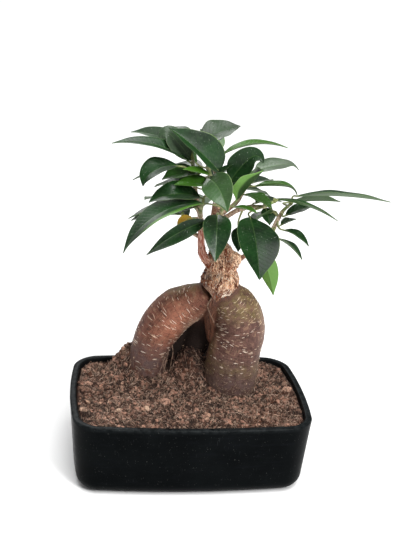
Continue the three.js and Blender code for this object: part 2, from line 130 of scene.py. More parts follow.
class Builder:
    """Collects points, faces and per-point values of one piece."""

    def __init__(self):
        self.points, self.faces, self.values, self.count = [], [], {}, 0

    def add(self, points, faces, **values):
        points = np.asarray(points, float).reshape(-1, 3)
        self.points.append(points)
        for face in faces:
            self.faces.append(np.asarray(face, int).reshape(-1, len(face[0])) + self.count)
        for name, value in values.items():
            value = np.broadcast_to(np.asarray(value, float), (len(points), 3))
            self.values.setdefault(name, []).append(value)
        self.count += len(points)

    def make(self, name, material, smooth=True):
        mesh = bpy.data.meshes.new(name)
        points = np.vstack(self.points) * MM
        faces = [f for block in self.faces for f in block.tolist()]
        mesh.from_pydata(points.tolist(), [], faces)
        for key, value in self.values.items():
            layer = mesh.attributes.new(key, "FLOAT_VECTOR", "POINT")
            layer.data.foreach_set("vector", np.vstack(value).astype(np.float32).ravel())
        mesh.polygons.foreach_set("use_smooth", np.full(len(faces), smooth))
        mesh.update()
        mesh.materials.append(material)
        return add_object(name, mesh)


def grid_faces(rows, columns, wrap=False):
    """Quads of a grid of points, row after row; with wrap the last column meets the first."""
    i, j = np.mgrid[: rows - 1, : columns if wrap else columns - 1]
    k = (j + 1) % columns
    quads = np.stack([i * columns + j, i * columns + k, (i + 1) * columns + k, (i + 1) * columns + j], -1)
    return quads.reshape(-1, 4)


def closed_faces(rows, columns):
    """The faces of a stack of closed rings, with a cap on the first and on the last."""
    first = np.arange(columns)
    return [grid_faces(rows, columns, wrap=True), first[None, ::-1], first[None] + (rows - 1) * columns]


def frames_along(centres):
    """Side and across directions that turn as little as they can along a line of points."""
    forward = unit(np.gradient(centres, axis=0))
    side = np.eye(3)[int(abs(forward[0, 0]) > abs(forward[0, 1]))]
    sides = []
    for f in forward:
        side = unit(side - f * (side @ f))
        sides.append(side)
    return np.array(sides), np.cross(forward, sides)


def tube(centres, radii, sides):
    """Points and faces of a closed tube of round section."""
    centres = np.asarray(centres, float)
    rows = len(centres)
    radii = np.broadcast_to(np.asarray(radii, float), rows)
    side, across = frames_along(centres)
    angle = (2 * np.pi * np.arange(sides) / sides)[:, None]
    ring = side[:, None] * np.cos(angle) + across[:, None] * np.sin(angle)
    points = centres[:, None] + ring * radii[:, None, None]
    return points.reshape(-1, 3), closed_faces(rows, sides)


# Materials: small helpers to write node trees

def rgb(red, green, blue):
    """A colour in 0 to 255 as a screen shows it, as Blender's linear colour."""
    parts = [c / 255 for c in (red, green, blue)]
    return (*(c / 12.92 if c < 0.04045 else ((c + 0.055) / 1.055) ** 2.4 for c in parts), 1.0)


class Shader:
    """One material's node tree, with a method for each kind of node that is used here."""

    def __init__(self, name):
        self.material = bpy.data.materials.new(name)
        self.material.use_nodes = True
        self.tree = self.material.node_tree
        self.tree.nodes.clear()
        self.output = self.node("OutputMaterial")
        self.place = self.node("TexCoord").outputs["Object"]

    def node(self, kind, inputs=(), **settings):
        """A node of this kind; inputs pairs a socket's name or number with its value or its source."""
        made = self.tree.nodes.new("ShaderNode" + kind)
        for key, value in settings.items():
            setattr(made, key, value)
        for key, value in dict(inputs).items():
            socket = made.inputs[key]
            if isinstance(value, bpy.types.NodeSocket):
                self.tree.links.new(value, socket)
            else:
                socket.default_value = value
        return made

    def math(self, operation, *values):
        return self.node("Math", enumerate(values), operation=operation).outputs[0]

    def times(self, first, second):
        return self.math("MULTIPLY", first, second)

    def line(self, value, slope, start):
        return self.math("MULTIPLY_ADD", value, slope, start)

    def ramp(self, value, low, high):
        """0 below low and 1 above high; low may be the greater."""
        flip = low > high
        ends = (value, min(low, high), max(low, high), float(flip), float(not flip))
        return self.node("MapRange", enumerate(ends), interpolation_type="SMOOTHSTEP").outputs[0]

    def mix(self, share, first, second, blend="MIX"):
        sockets = {0: share, 6: first, 7: second}
        return self.node("Mix", sockets, data_type="RGBA", blend_type=blend).outputs[2]

    def over(self, base, share, strength, *colour):
        """Lays a colour in 0 to 255 over the base, as far as share times strength says."""
        return self.mix(share if strength == 1 else self.times(share, strength), base, rgb(*colour))

    def stretch(self, vector, *scale):
        return self.node("Mapping", {"Vector": vector, "Scale": scale}).outputs[0]

    def noise(self, vector, scale, detail=3.0, rough=0.55):
        sockets = {"Vector": vector, "Scale": scale, "Detail": detail, "Roughness": rough}
        return self.node("TexNoise", sockets).outputs["Fac"]

    def cells(self, vector, scale, feature="F1"):
        return self.node("TexVoronoi", {"Vector": vector, "Scale": scale}, feature=feature)

    def vector(self, name):
        """A per-point vector of the mesh."""
        return self.node("Attribute", attribute_name=name).outputs["Vector"]

    def values(self, name):
        """The three parts of a per-point vector of the mesh."""
        return self.node("SeparateXYZ", {0: self.vector(name)}).outputs

    def bump(self, height, distance, strength):
        sockets = {"Height": height, "Distance": distance, "Strength": strength}
        return self.node("Bump", sockets).outputs[0]

    def finish(self, **sockets):
        named = {name.replace("_", " "): value for name, value in sockets.items()}
        shader = self.node("BsdfPrincipled", named)
        self.tree.links.new(shader.outputs[0], self.output.inputs["Surface"])
        return self.material


# Camera, light and floor

CAMERA_PLACE = (-89.1, -638.1, 406.8)
CAMERA_YAW, CAMERA_PITCH, CAMERA_ROLL = -8.6, 21.0, 4.4
FOCAL_PIXELS, FRAME_PIXELS, SENSOR = 900, 551, 36.0
WORLD_POWER, SUN_POWER, SUN_SPREAD, SUN_SIDE = 0.32, 2.6, 38, (0.1, -0.3, 1)
LIT_PLACE = (0.02, 0, 0.12)
FLOOR_REACH = 14


def add_object(name, data):
    """Links a new object with this mesh, camera or lamp to the scene."""
    made = bpy.data.objects.new(name, data)
    bpy.context.scene.collection.objects.link(made)
    return made


def add_camera():
    yaw, pitch, roll = map(math.radians, (CAMERA_YAW, CAMERA_PITCH, CAMERA_ROLL))
    forward = Vector((-math.sin(yaw) * math.cos(pitch), math.cos(yaw) * math.cos(pitch), -math.sin(pitch)))
    right = Vector((math.cos(yaw), math.sin(yaw), 0))
    up = right.cross(forward)
    across = right * math.cos(roll) + up * math.sin(roll)
    upward = up * math.cos(roll) - right * math.sin(roll)
    data = bpy.data.cameras.new("camera")
    data.sensor_width = SENSOR
    data.lens = FOCAL_PIXELS * SENSOR / FRAME_PIXELS
    camera = add_object("camera", data)
    turn = Matrix([[across[k], upward[k], -forward[k]] for k in range(3)])
    camera.matrix_world = Matrix.Translation(Vector(CAMERA_PLACE) * MM) @ turn.to_4x4()
    bpy.context.scene.camera = camera


def add_light(name, place, target, size, power):
    data = bpy.data.lights.new(name, "AREA")
    data.shape = "RECTANGLE"
    data.size, data.size_y = size
    data.energy = power
    light = add_object(name, data)
    light.location = place
    light.rotation_euler = (Vector(target) - Vector(place)).to_track_quat("-Z", "Y").to_euler()


def add_stage():
    world = bpy.data.worlds.new("studio")
    bpy.context.scene.world = world
    world.use_nodes = True
    background = world.node_tree.nodes["Background"]
    background.inputs["Color"].default_value = (1, 1, 1, 1)
    background.inputs["Strength"].default_value = WORLD_POWER

    sun = bpy.data.lights.new("sky_panel", "SUN")
    sun.energy = SUN_POWER
    sun.angle = math.radians(SUN_SPREAD)
    panel = add_object("sky_panel", sun)
    panel.rotation_euler = Vector(SUN_SIDE).to_track_quat("Z", "Y").to_euler()
    add_light("key", (0.45, -0.8, 0.75), LIT_PLACE, (0.28, 0.28), 8)
    add_light("back", (-0.3, 0.9, 0.8), LIT_PLACE, (0.8, 0.5), 5)

    s = Shader("floor_paper")
    paper = s.mix(s.noise(s.place, 3.0, 2.0), (0.93, 0.93, 0.93, 1), (0.96, 0.96, 0.96, 1))
    mesh = bpy.data.meshes.new("floor")
    corners = [(-1, -1, 0), (1, -1, 0), (1, 1, 0), (-1, 1, 0)]
    mesh.from_pydata([Vector(corner) * FLOOR_REACH for corner in corners], [], [(0, 1, 2, 3)])
    mesh.materials.append(s.finish(Base_Color=paper, Roughness=0.9, Specular_IOR_Level=0.1))
    floor = add_object("floor", mesh)
    bpy.context.scene.view_settings.view_transform = "Standard"


# Pot

POT_LENGTH, POT_DEPTH, POT_HEIGHT = 180, 119, 60
POT_BULGE, BULGE_SHARPNESS = 4.7, 6
POT_CORNER, POT_CORNER_LEAST = 17, 3
POT_TAPER, POT_FOOT_ROUND = 4.2, 10
POT_WALL, POT_FLOOR, POT_LIP = 5.2, 7, 1.4
RIM_BAND, INNER_RIM_BAND, INNER_FOOT_ROUND = 8, 12, 6
POT_UNEVEN, LIP_WEAR_AND_HIGHLIGHT = 0.22, (57.5, 59.6)
SOIL_LEVEL = 56.5


def pot_outline(inset, corner_steps=14, side_steps=22):
    half_length, half_depth = POT_LENGTH / 2 - inset, POT_DEPTH / 2 - inset
    corner = max(POT_CORNER - inset, POT_CORNER_LEAST)
    shares = np.arange(1, side_steps) / side_steps
    points = []
    for sx, sy, start in ((1, 1, 0), (-1, 1, 90), (-1, -1, 180), (1, -1, 270)):
        angle = np.radians(start + 90 * np.arange(corner_steps + 1) / corner_steps)
        x = sx * (half_length - corner) + corner * np.cos(angle)
        y = sy * (half_depth - corner) + corner * np.sin(angle)
        points.extend(zip(x, y))
        across = (1 - 2 * shares, 1) if start in (0, 180) else (1, 1 - 2 * shares)
        points.extend(np.broadcast(x[-1] * across[0], y[-1] * across[1]))
    x, y = np.array(points).T
    bow_x = POT_BULGE * (1 - (y / half_depth) ** 2) * np.abs(x / half_length) ** BULGE_SHARPNESS
    bow_y = POT_BULGE * (1 - (x / half_length) ** 2) * np.abs(y / half_depth) ** BULGE_SHARPNESS
    return stack(x + np.sign(x) * bow_x, y + np.sign(y) * bow_y)


def level(outline, z):
    return stack(outline, np.full(len(outline), z))


def pot_material():
    s = Shader("black_glaze")
    lip, inside, _ = s.values("glaze_look")
    pooled = s.noise(s.place, 38, 3)
    low = s.noise(s.stretch(s.place, 9, 9, 60), 6, 4, 0.6)
    dust = s.noise(s.place, 900, 2, 0.6)
    streak = s.noise(s.stretch(s.place, 1600, 1600, 90), 1, 2, 0.5)
    wear_and_highlight = s.ramp(s.noise(s.place, 260, 4, 0.65), 0.25, 0.75)
    base = s.mix(s.ramp(pooled, 0.35, 0.7), rgb(5, 7, 8), rgb(9, 12, 13))
    base = s.over(base, s.ramp(low, 0.5, 0.85), 1, 13, 15, 18)
    base = s.over(base, s.ramp(dust, 0.69, 0.76), 1, 78, 78, 76)
    base = s.over(base, s.ramp(streak, 0.68, 0.8), 0.35, 60, 62, 64)
    # Grey on the lip: glaze wear there, with a painted highlight along the rim.
    base = s.over(base, s.times(lip, wear_and_highlight), 0.8, 42, 45, 46)
    base = s.over(base, inside, 0.7, 16, 15, 15)
    rough = s.line(s.ramp(low, 0.3, 0.8), 0.12, s.line(dust, 0.1, 0.26))
    return s.finish(
        Base_Color=base,
        Roughness=s.line(lip, -0.14, rough),
        Specular_IOR_Level=0.02,
        Normal=s.bump(s.line(dust, 0.25, pooled), 0.0004, 0.35),
    )


def add_pot():
    def lean(z):
        return POT_TAPER * (1 - z / POT_HEIGHT)

    def lip(degrees):
        angle = np.radians(degrees)
        return POT_LIP * (1 - np.cos(angle)), POT_HEIGHT - POT_LIP * (1 - np.sin(angle))

    rim_foot, lip_foot = POT_HEIGHT - RIM_BAND, POT_HEIGHT - POT_LIP
    rows = [(POT_TAPER + POT_FOOT_ROUND + 3, 0.4), (POT_TAPER + POT_FOOT_ROUND + 1, 0)]
    for angle in np.radians(np.linspace(0, 90, 9)):
        z = POT_FOOT_ROUND * (1 - np.cos(angle))
        rows.append((lean(z) + POT_FOOT_ROUND * (1 - np.sin(angle)), z))
    rows += [(lean(z), z) for z in np.linspace(14, rim_foot, 9)]
    rows += [(lean(rim_foot) * (lip_foot - z) / (lip_foot - rim_foot), z) for z in (54.5, 56.5, lip_foot)]
    rows += [lip(degrees) for degrees in (25, 50, 75, 90)]
    rows.append((POT_WALL / 2, POT_HEIGHT))
    rows += [(POT_WALL - inset, z) for inset, z in map(lip, (90, 65, 40, 15))]
    rows.append((POT_WALL + lean(POT_HEIGHT - INNER_RIM_BAND), POT_HEIGHT - INNER_RIM_BAND))
    rows.append((POT_WALL + POT_TAPER, POT_FLOOR + INNER_FOOT_ROUND))
    rows.append((POT_WALL + POT_TAPER + INNER_FOOT_ROUND, POT_FLOOR))

    rings = [level(pot_outline(inset), z) for inset, z in rows]
    points = np.vstack(rings)
    row = np.arange(len(rows))
    # The lip's share, which gets glaze wear and a painted highlight.
    lip_share = smoothstep(np.array(rows)[:, 1], *LIP_WEAR_AND_HIGHLIGHT) * (row < len(rows) - 3)
    look = stack(lip_share, row >= len(rows) - 5, 0 * row)
    inward = -points * (1, 1, 0) / (POT_LENGTH, POT_DEPTH, 1)
    points = points + unit(inward) * np.abs(POT_UNEVEN * noise(points, 34, seed=5))[:, None]
    builder = Builder()
    columns = len(rings[0])
    builder.add(points, closed_faces(len(rows), columns), glaze_look=np.repeat(look, columns, axis=0))
    pot = builder.make("glazed_pot", pot_material())
    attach(pot, BODY)
    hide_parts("pot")


# Root, trunk and branches: [x, y, z, radius] from the neck outward, and how softly each one joins

LIMBS = {
    "right_leg": (2.5, [
        [26.5, 15, 138.6, 8.8], [30.6, 16.5, 133, 13], [35, 17.5, 126, 17.5], [39, 18, 117, 19.4],
        [41, 18, 104, 20.2], [38.5, 17.5, 91, 21], [36.5, 17, 76, 21.5], [35.5, 16.5, 60, 21.5],
        [35, 17, 43, 17], [35, 18, 26, 7],
    ]),
    "left_leg": (2.5, [
        [11, 13, 138.5, 8.6], [6, 17.2, 133.4, 12], [-0.5, 22, 127, 15], [-10, 25.5, 120, 17],
        [-19, 27, 109.5, 17.6], [-26, 28, 96.5, 16.6], [-30.4, 28.5, 82, 15.5], [-33, 29, 66, 15.7],
        [-35, 29, 48, 13.5], [-36, 30, 28, 6],
    ]),
    "rear_leg": (3.0, [
        [20, 22, 138, 12], [16, 30, 124, 12.5], [12, 36, 104, 12], [9, 39, 84, 11.5],
        [8, 40, 64, 11], [7, 40, 44, 9], [7, 40, 28, 5],
    ]),
    "rear_prop": (3.0, [
        [13, 30, 130, 9], [4, 36, 120, 10.5], [-4, 41, 106, 11.5], [-10, 44, 90, 12],
        [-13, 45, 74, 11.5], [-14, 45, 56, 10], [-14, 45, 36, 5],
    ]),
    "neck": (3.5, [
        [16.6, 10, 134, 3.2], [17.8, 11, 138, 5.4], [20, 14, 143.2, 10.2], [21.2, 16.2, 147.4, 15],
        [20.6, 16.5, 152, 11.6], [19.4, 16, 158.5, 10.4], [19.4, 16, 165, 10.2], [19.6, 16, 171, 9],
        [19.4, 16, 176.5, 6.2],
    ]),
    "snag": (1.5, [[22, 13, 168, 5.6], [23.6, 11.5, 174, 3.4], [24.4, 10.5, 178.6, 1.5]]),
    "wedge": (2.0, [
        [17, 12, 137, 4], [16.6, 11.5, 130, 3.2], [14.6, 13, 121, 4.6], [15.5, 16, 110, 4.2],
        [18, 21, 96, 3.2],
    ]),
    "strand": (1.0, [
        [13.5, 5.4, 139, 0.9], [12.6, 5, 131, 1.1], [13.6, 6, 122, 1], [16, 9, 113, 0.9], [18, 13, 105, 0.8],
    ]),
    "right_stub": (1.0, [[26, 15, 158, 5.4], [30, 14, 165, 4.6], [31.8, 14, 172.4, 4.4]]),
    "left_branch": (2.0, [
        [14, 14, 162.5, 4.8], [8.6, 12.5, 167, 3.7], [4.8, 11, 172.5, 3.3], [3, 10, 180, 2.8],
        [2.1, 9, 191, 2.4], [1, 9, 202, 2.3],
    ]),
    "leader": (2.0, [
        [19, 17, 168, 6], [18.5, 16, 178, 4], [18.5, 15, 190, 3.3], [18, 15, 200, 3.1],
        [16, 14, 210, 2.8], [13, 13, 222, 2.6],
    ]),
    "right_branch": (1.0, [
        [30, 15.5, 164, 2.6], [35, 16, 167, 1.9], [40, 16, 171.3, 1.8], [47, 15, 178, 1.8],
        [53, 13, 186, 1.8], [58, 11, 194, 1.9],
    ]),
    "rear_branch": (2.5, [
        [18, 20, 170, 4.6], [16, 30, 180, 3.4], [15.5, 38, 192, 2.8], [16.5, 43, 204, 2.3],
    ]),
}
LIMB_NAMES = list(LIMBS)
VOXEL = 0.95
LIMB_STEPS, LIMB_SIDES = 36, 24


def limb_line(name):
    """Centres, radii, run, side and across of a limb, step by step."""
    centres, radii = spine(LIMBS[name][1], np.linspace(0, 1, LIMB_STEPS + 1))
    along = np.concatenate([[0], np.cumsum(np.linalg.norm(np.diff(centres, axis=0), axis=1))])
    return centres, radii, along, *frames_along(centres)


LINES = {name: limb_line(name) for name in LIMB_NAMES}
CUT_FLAT = ("right_stub",)


def limb_field(points, name):
    """Distance to a limb's surface, the way out from it, and the limb's own coordinates."""
    centres, radii, along, side, across = LINES[name]
    step = np.diff(centres, axis=0)
    gap = points[:, None] - centres[None, :-1]
    t = np.clip((gap * step).sum(2) / (step**2).sum(1), 0, 1)
    gap -= t[..., None] * step
    far = np.linalg.norm(gap, axis=2)
    depth = far - (radii[:-1] + t * np.diff(radii))
    best = depth.argmin(1)
    row = np.arange(len(points))
    t, radial = t[row, best], gap[row, best]
    depth, out = depth[row, best], radial / np.maximum(far[row, best], 1e-6)[:, None]
    run = along[best] + t * np.diff(along)[best]
    straight = stack((radial * side[best]).sum(1), (radial * across[best]).sum(1), run)
    if name in CUT_FLAT:
        end = unit(centres[-1] - centres[-2])
        beyond = (points - centres[-1]) @ end
        out = np.where((beyond > depth)[:, None], end, out)
        depth = np.maximum(depth, beyond)
    return depth, out, straight


def wood_field(points):
    """The soft union of all limbs: depth, way out, straightened place and each limb's share."""
    count = len(points)
    depth, out, straight = np.full(count, 1e3), np.zeros((count, 3)), np.zeros((count, 3))
    shares = np.zeros((count, len(LIMB_NAMES)))
    for i, name in enumerate(LIMB_NAMES):
        soft = LIMBS[name][0]
        centres, radii = LINES[name][:2]
        margin = radii.max() + soft + 4
        near = np.all((points > centres.min(0) - margin) & (points < centres.max(0) + margin), axis=1)
        if not near.any():
            continue
        d, o, s = limb_field(points[near], name)
        h = np.clip(0.5 + 0.5 * (depth[near] - d) / soft, 0, 1)
        depth[near] += (d - depth[near]) * h - soft * h * (1 - h)
        h = h[:, None]
        out[near] += (o - out[near]) * h
        straight[near] += (s - straight[near]) * h
        shares[near] *= 1 - h
        shares[near, i] = h[:, 0]
    return depth, unit(out), straight, shares


def share_of(shares, *names):
    return sum(shares[:, LIMB_NAMES.index(name)] for name in names)


LEGS = ("right_leg", "left_leg", "rear_leg", "rear_prop")
TRUNK = ("neck", "snag", "right_stub", "leader")
WEDGE = ("wedge", "strand")
TWIGS = ("left_branch", "right_branch", "rear_branch")


def relief(straight, shares, points):
    """How far the bark stands out of the smooth limb."""
    lumps = 0.55 * noise(points, 17, 3, 2) + 0.16 * noise(straight * (1, 1, 2.6), 6, 4, 2)
    wrinkles = 0.13 * noise(straight * (0.25, 0.25, 1), 1.7, 8, 2)
    ribs = 1.1 * noise(straight * (1, 1, 0.3), 4.4, 11, 3)
    ribs += 0.7 * noise(points, 2.1, 12, 2) + 1.3 * noise(points, 6, 14)
    grooves = 0.22 * noise(straight * (1, 1, 0.4), 2.2, 13, 2)
    ribbed = share_of(shares, *TRUNK) * 0.75 + share_of(shares, *WEDGE) * 0.3
    return share_of(shares, *LEGS) * (lumps + wrinkles) + ribbed * ribs + share_of(shares, *TWIGS) * grooves


def settle(points, rounds=4):
    """Moves points onto the bark's surface; returns them with the field's other values."""
    for _ in range(rounds):
        depth, out, straight, shares = wood_field(points)
        depth = depth - relief(straight, shares, points)
        points = points - out * np.clip(depth, -2.5, 2.5)[:, None] * 0.9
    return points, out, straight, shares


def bark_material():
    s = Shader("living_bark")
    olive, tan, dirt_and_shade = s.values("bark_tint")
    flake, pink_highlight, right = s.values("bark_kind")
    wedge, red, rear = s.values("bark_more")
    straight = s.vector("bark_place")
    fine = s.noise(straight, 0.9, 4, 0.65)
    blotch = s.noise(s.place, 130, 4, 0.6)
    rings = s.noise(s.stretch(straight, 0.16, 0.16, 1.5), 1.1, 4, 0.6)
    fibre = s.noise(s.stretch(straight, 2.1, 2.1, 0.16), 1.1, 3, 0.6)
    blotched = s.ramp(blotch, 0.3, 0.7)

    # The left leg's browns, with a rosy painted highlight on its side towards the key light.
    left = s.over(s.mix(blotched, rgb(92, 51, 39), rgb(138, 85, 66)), pink_highlight, 0.8, 192, 124, 98)
    base = s.mix(right, left, s.mix(blotched, rgb(78, 50, 45), rgb(112, 78, 68)))
    base = s.over(base, s.ramp(rings, 0.5, 0.68), 0.35, 190, 152, 120)
    base = s.over(base, s.ramp(rings, 0.47, 0.34), 0.65, 54, 32, 26)
    base = s.over(base, s.ramp(fibre, 0.5, 0.36), 0.7, 52, 34, 30)
    base = s.over(base, olive, s.ramp(s.noise(s.place, 210, 5, 0.7), 0.32, 0.68), 122, 106, 62)
    base = s.over(base, tan, s.ramp(fine, 0.25, 0.7), 194, 170, 146)
    # Wedge and trunk below the shoulders: reddish-brown bark, darkened with painted shade between the legs.
    base = s.mix(wedge, base, s.mix(s.ramp(fibre, 0.35, 0.65), rgb(44, 26, 20), rgb(116, 74, 54)))

    chip = s.cells(s.stretch(straight, 1, 1, 0.45), 0.95).outputs["Color"]
    chip = s.node("SeparateColor", {0: chip}).outputs[0]
    rough_bark = s.mix(chip, rgb(140, 76, 48), rgb(244, 192, 150))
    rough_bark = s.over(rough_bark, s.ramp(s.noise(s.place, 260, 3), 0.5, 0.62), 0.6, 128, 66, 42)
    rough_bark = s.over(rough_bark, s.ramp(fine, 0.5, 0.38), 0.9, 52, 28, 18)
    bleached = s.ramp(s.noise(straight, 0.9, 3, 0.7), 0.5, 0.62)
    base = s.mix(flake, base, s.over(rough_bark, bleached, 1, 255, 230, 200))

    base = s.mix(red, base, s.mix(s.ramp(fibre, 0.48, 0.6), rgb(146, 72, 52), rgb(212, 172, 156)))
    dusty = s.mix(fine, rgb(54, 40, 38), rgb(120, 97, 93))
    # Dusty grime, turning to near-black painted shade on the rear roots' faces towards the hollow.
    soil_and_shade = s.mix(rear, dusty, s.mix(fine, rgb(12, 8, 6), rgb(44, 29, 23)))
    # Grime low on the legs, and painted shade on the trunk's left side and on the rear roots, laid over the
    # bark.
    base = s.mix(s.times(dirt_and_shade, s.math("MAXIMUM", rear, s.ramp(blotch, 0.2, 0.62))), base, soil_and_shade)
    speck = s.ramp(s.noise(s.place, 1500, 2, 0.6), 0.66, 0.73)
    base = s.over(base, speck, s.line(rear, -0.4, 0.5), 206, 180, 152)
    height = s.line(fine, 0.6, s.line(rings, 0.9, s.times(fibre, 0.5)))
    return s.finish(
        Base_Color=base,
        Roughness=s.line(rear, 0.3, s.line(fine, 0.25, 0.46)),
        Specular_IOR_Level=0.3,
        Normal=s.bump(height, 0.0006, 0.7),
    )


SHOULDER_DIP = (16.2, 136.5)
SHOULDER_LEFT, SHOULDER_RIGHT = 1.2, 0.55


def bark_tints(points, out, shares):
    """What the bark is like: olive, tan, grime and painted shade; flaky, rosy painted highlight, right leg;
    wedge under painted shade, reddened, rear roots' painted shade.
    """
    x, z, up = points[:, 0], points[:, 2], out[:, 2]
    right, left = share_of(shares, "right_leg"), share_of(shares, "left_leg")
    rear = share_of(shares, "rear_leg", "rear_prop")
    trunk, twigs = share_of(shares, *TRUNK), share_of(shares, *TWIGS)
    patch = noise(points, 22, 31, 2)

    crown = 0.75 * smoothstep(z + 6 * patch, 114, 130)
    belt = 0.6 * smoothstep(-np.abs(z - 78 + 4 * patch), -8, -1)
    flank = 0.5 * smoothstep(-x + 6 * patch, -24, -16) * smoothstep(z, 118, 96)
    olive = left * smoothstep(up + 0.2 * patch, 0.55, 0.95) + right * (crown + belt + flank)
    tan = left * smoothstep(-up + 0.25 * patch, 0.35, 0.8) * smoothstep(z, 70, 84)
    tan += 0.35 * right * smoothstep(x + 8 * patch, 50, 60)
    uneven = z + 9 * patch
    dirt_and_shade = right * smoothstep(uneven, 92, 62) + left * smoothstep(uneven, 104, 74)
    # Rear roots: grime, and painted shade on their faces towards the hollow.
    dirt_and_shade += rear * smoothstep(uneven, 128, 100)
    # Painted shade on the trunk's left-facing side, away from the key light.
    dirt_and_shade += trunk * smoothstep(0.2 * patch - out[:, 0], 0.5, 0.85)
    # The trunk is darker towards its bottom, below the shoulders.
    dirt_and_shade += 0.55 * trunk * smoothstep(z + 2 * patch, 149, 141)

    off = x - SHOULDER_DIP[0]
    shoulder = SHOULDER_DIP[1] + np.maximum(-SHOULDER_LEFT * off, SHOULDER_RIGHT * off)
    above = smoothstep(z - shoulder + 1.2 * noise(points, 3, 33, 2), -1.2, 1.2)
    flake = above * np.clip(1 - 0.75 * twigs, 0, 1)
    # Rosy painted highlight on the left leg where it faces the key light.
    lit = out @ unit(np.array([0.35, -0.75, 0.3]))
    pink_highlight = left * smoothstep(lit + 0.15 * patch, 0.55, 0.95) * smoothstep(z, 72, 96) * smoothstep(x, 6, -12)
    # Bark between the legs and below the shoulders, which gets painted shade.
    wedge = share_of(shares, *WEDGE) + (1 - above) * trunk
    red = share_of(shares, "left_branch") * smoothstep(z, 162, 168)
    return (
        stack(olive, tan, dirt_and_shade).clip(0, 1),
        stack(flake, pink_highlight, right + 0.6 * rear),
        # Rear roots' faces that look into the hollow between the legs, which get painted shade.
        stack(wedge, red, rear * smoothstep(out[:, 1], 0.6, 0.1)).clip(0, 1),
    )


def add_wood():
    whole = Builder()
    for name in LIMB_NAMES:
        whole.add(*tube(*LINES[name][:2], LIMB_SIDES))
    rough = whole.make("rough_wood", None)
    rough.data.transform(Matrix.Scale(1 / MM, 4))
    remesh = rough.modifiers.new("remesh", "REMESH")
    remesh.mode = "VOXEL"
    remesh.voxel_size = VOXEL
    bpy.context.view_layer.update()
    evaluated = rough.evaluated_get(bpy.context.evaluated_depsgraph_get())
    final = evaluated.to_mesh()
    points = np.empty(len(final.vertices) * 3, np.float32)
    final.vertices.foreach_get("co", points)
    points = points.reshape(-1, 3).astype(float)
    faces = [list(p.vertices) for p in final.polygons]
    evaluated.to_mesh_clear()
    bpy.data.objects.remove(rough)

    points, out, straight, shares = settle(points)
    tint, kind, more = bark_tints(points, out, shares)
    kind[:, 0] *= 1 - 0.6 * smoothstep(points[:, 2], 151, 141)
    builder = Builder()
    builder.add(points, [faces], bark_tint=tint, bark_kind=kind, bark_more=more, bark_place=straight)
    wood = builder.make("root_and_trunk", bark_material())
    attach(wood, BODY)
    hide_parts("ginseng_root")


# Small shapes that are strewn: crumbs, fibres, dashes of bark

def icosphere(level):
    """Points and triangles of a unit sphere of 20 faces, each split in four at every further level."""
    mesh = bmesh.new()
    bmesh.ops.create_icosphere(mesh, subdivisions=level, radius=1)
    points = np.array([v.co for v in mesh.verts])
    faces = np.array([[v.index for v in f.verts] for f in mesh.faces])
    mesh.free()
    return points, faces


def turned(yaw, pitch, roll):
    """A rotation matrix from three angles in radians."""
    return np.array(Euler((roll, pitch, yaw)).to_matrix())


def basis(out, along):
    """Columns: along the surface, across it and out of it, for a direction out and a rough one along."""
    along = unit(along - out * (along * out).sum(-1, keepdims=True))
    return np.stack([along, np.cross(out, along), out], axis=-1)


def add_crumb(builder, shape, centre, size, turn, **values):
    points, faces = shape
    lumpy = points * (1 + 0.28 * RNG.uniform(-1, 1, (len(points), 1)))
    builder.add(centre + (lumpy * size) @ turn.T, [faces], **values)


def add_fibre(builder, line, radius, **values):
    """A thin thread of three sides that tapers at both ends."""
    taper = np.sqrt(np.sin(np.linspace(0.12, 0.88, len(line)) * np.pi))
    builder.add(*tube(line, radius * taper, 3), **values)


# Soil

HEAPS = [  # x, y, height, spread
    [-45, 35, 25, 12], [2, 30, 20, 12], [26, 37, 12, 18],
    [-18, 12, 5, 26], [62, 30, -4, 22], [70, -30, -2, 22],
]
HEAP_FADE = 0.32
WAVES = [[0.7, 0.31, 0.13, 0, 0.27, -0.08], [0.5, 0.71, -0.53, 1, 0.83, 0.37]]
EDGE_STEPS = (20, 40)
SOIL_EDGE = pot_outline(POT_WALL + 0.7, *EDGE_STEPS)
EDGE_ANGLE = np.arctan2(SOIL_EDGE[:, 1], SOIL_EDGE[:, 0])
EDGE_ORDER = EDGE_ANGLE.argsort()
SOIL_REACH, SOIL_GAP = 0.985, 0.35
# Where the painted shade under the roots' arch is deepest, and how far it spreads.
ARCH_SHADE_PLACE, ARCH_SHADE_SPREAD = (0, 29), 16


def soil_share(x, y):
    """How far out a place is, from 0 at the pot's middle to 1 at its wall."""
    reach = np.linalg.norm(SOIL_EDGE, axis=1)[EDGE_ORDER]
    wall = np.interp(np.arctan2(y, x), EDGE_ANGLE[EDGE_ORDER], reach, period=2 * np.pi)
    return np.hypot(x, y) / wall


def soil_height(x, y, share=None):
    share = soil_share(x, y) if share is None else share
    heaped = smoothstep(1 - share, 0, HEAP_FADE)
    z = np.full(len(x), float(SOIL_LEVEL))
    for hx, hy, height, spread in HEAPS:
        z += heaped * height * np.exp(-((x - hx) ** 2 + (y - hy) ** 2) / (2 * spread**2))
    for height, ax, ay, phase, by, bx in WAVES:
        z += height * np.sin(ax * x + ay * y + phase) * np.cos(by * y + bx * x)
    flat = stack(x, y, 0 * x)
    clods = 1.5 * noise(flat, 11, 41, 2) + 1.1 * noise(flat, 4.2, 43, 2)
    return z + clods * smoothstep(share, 1.0, 0.9) - 0.5


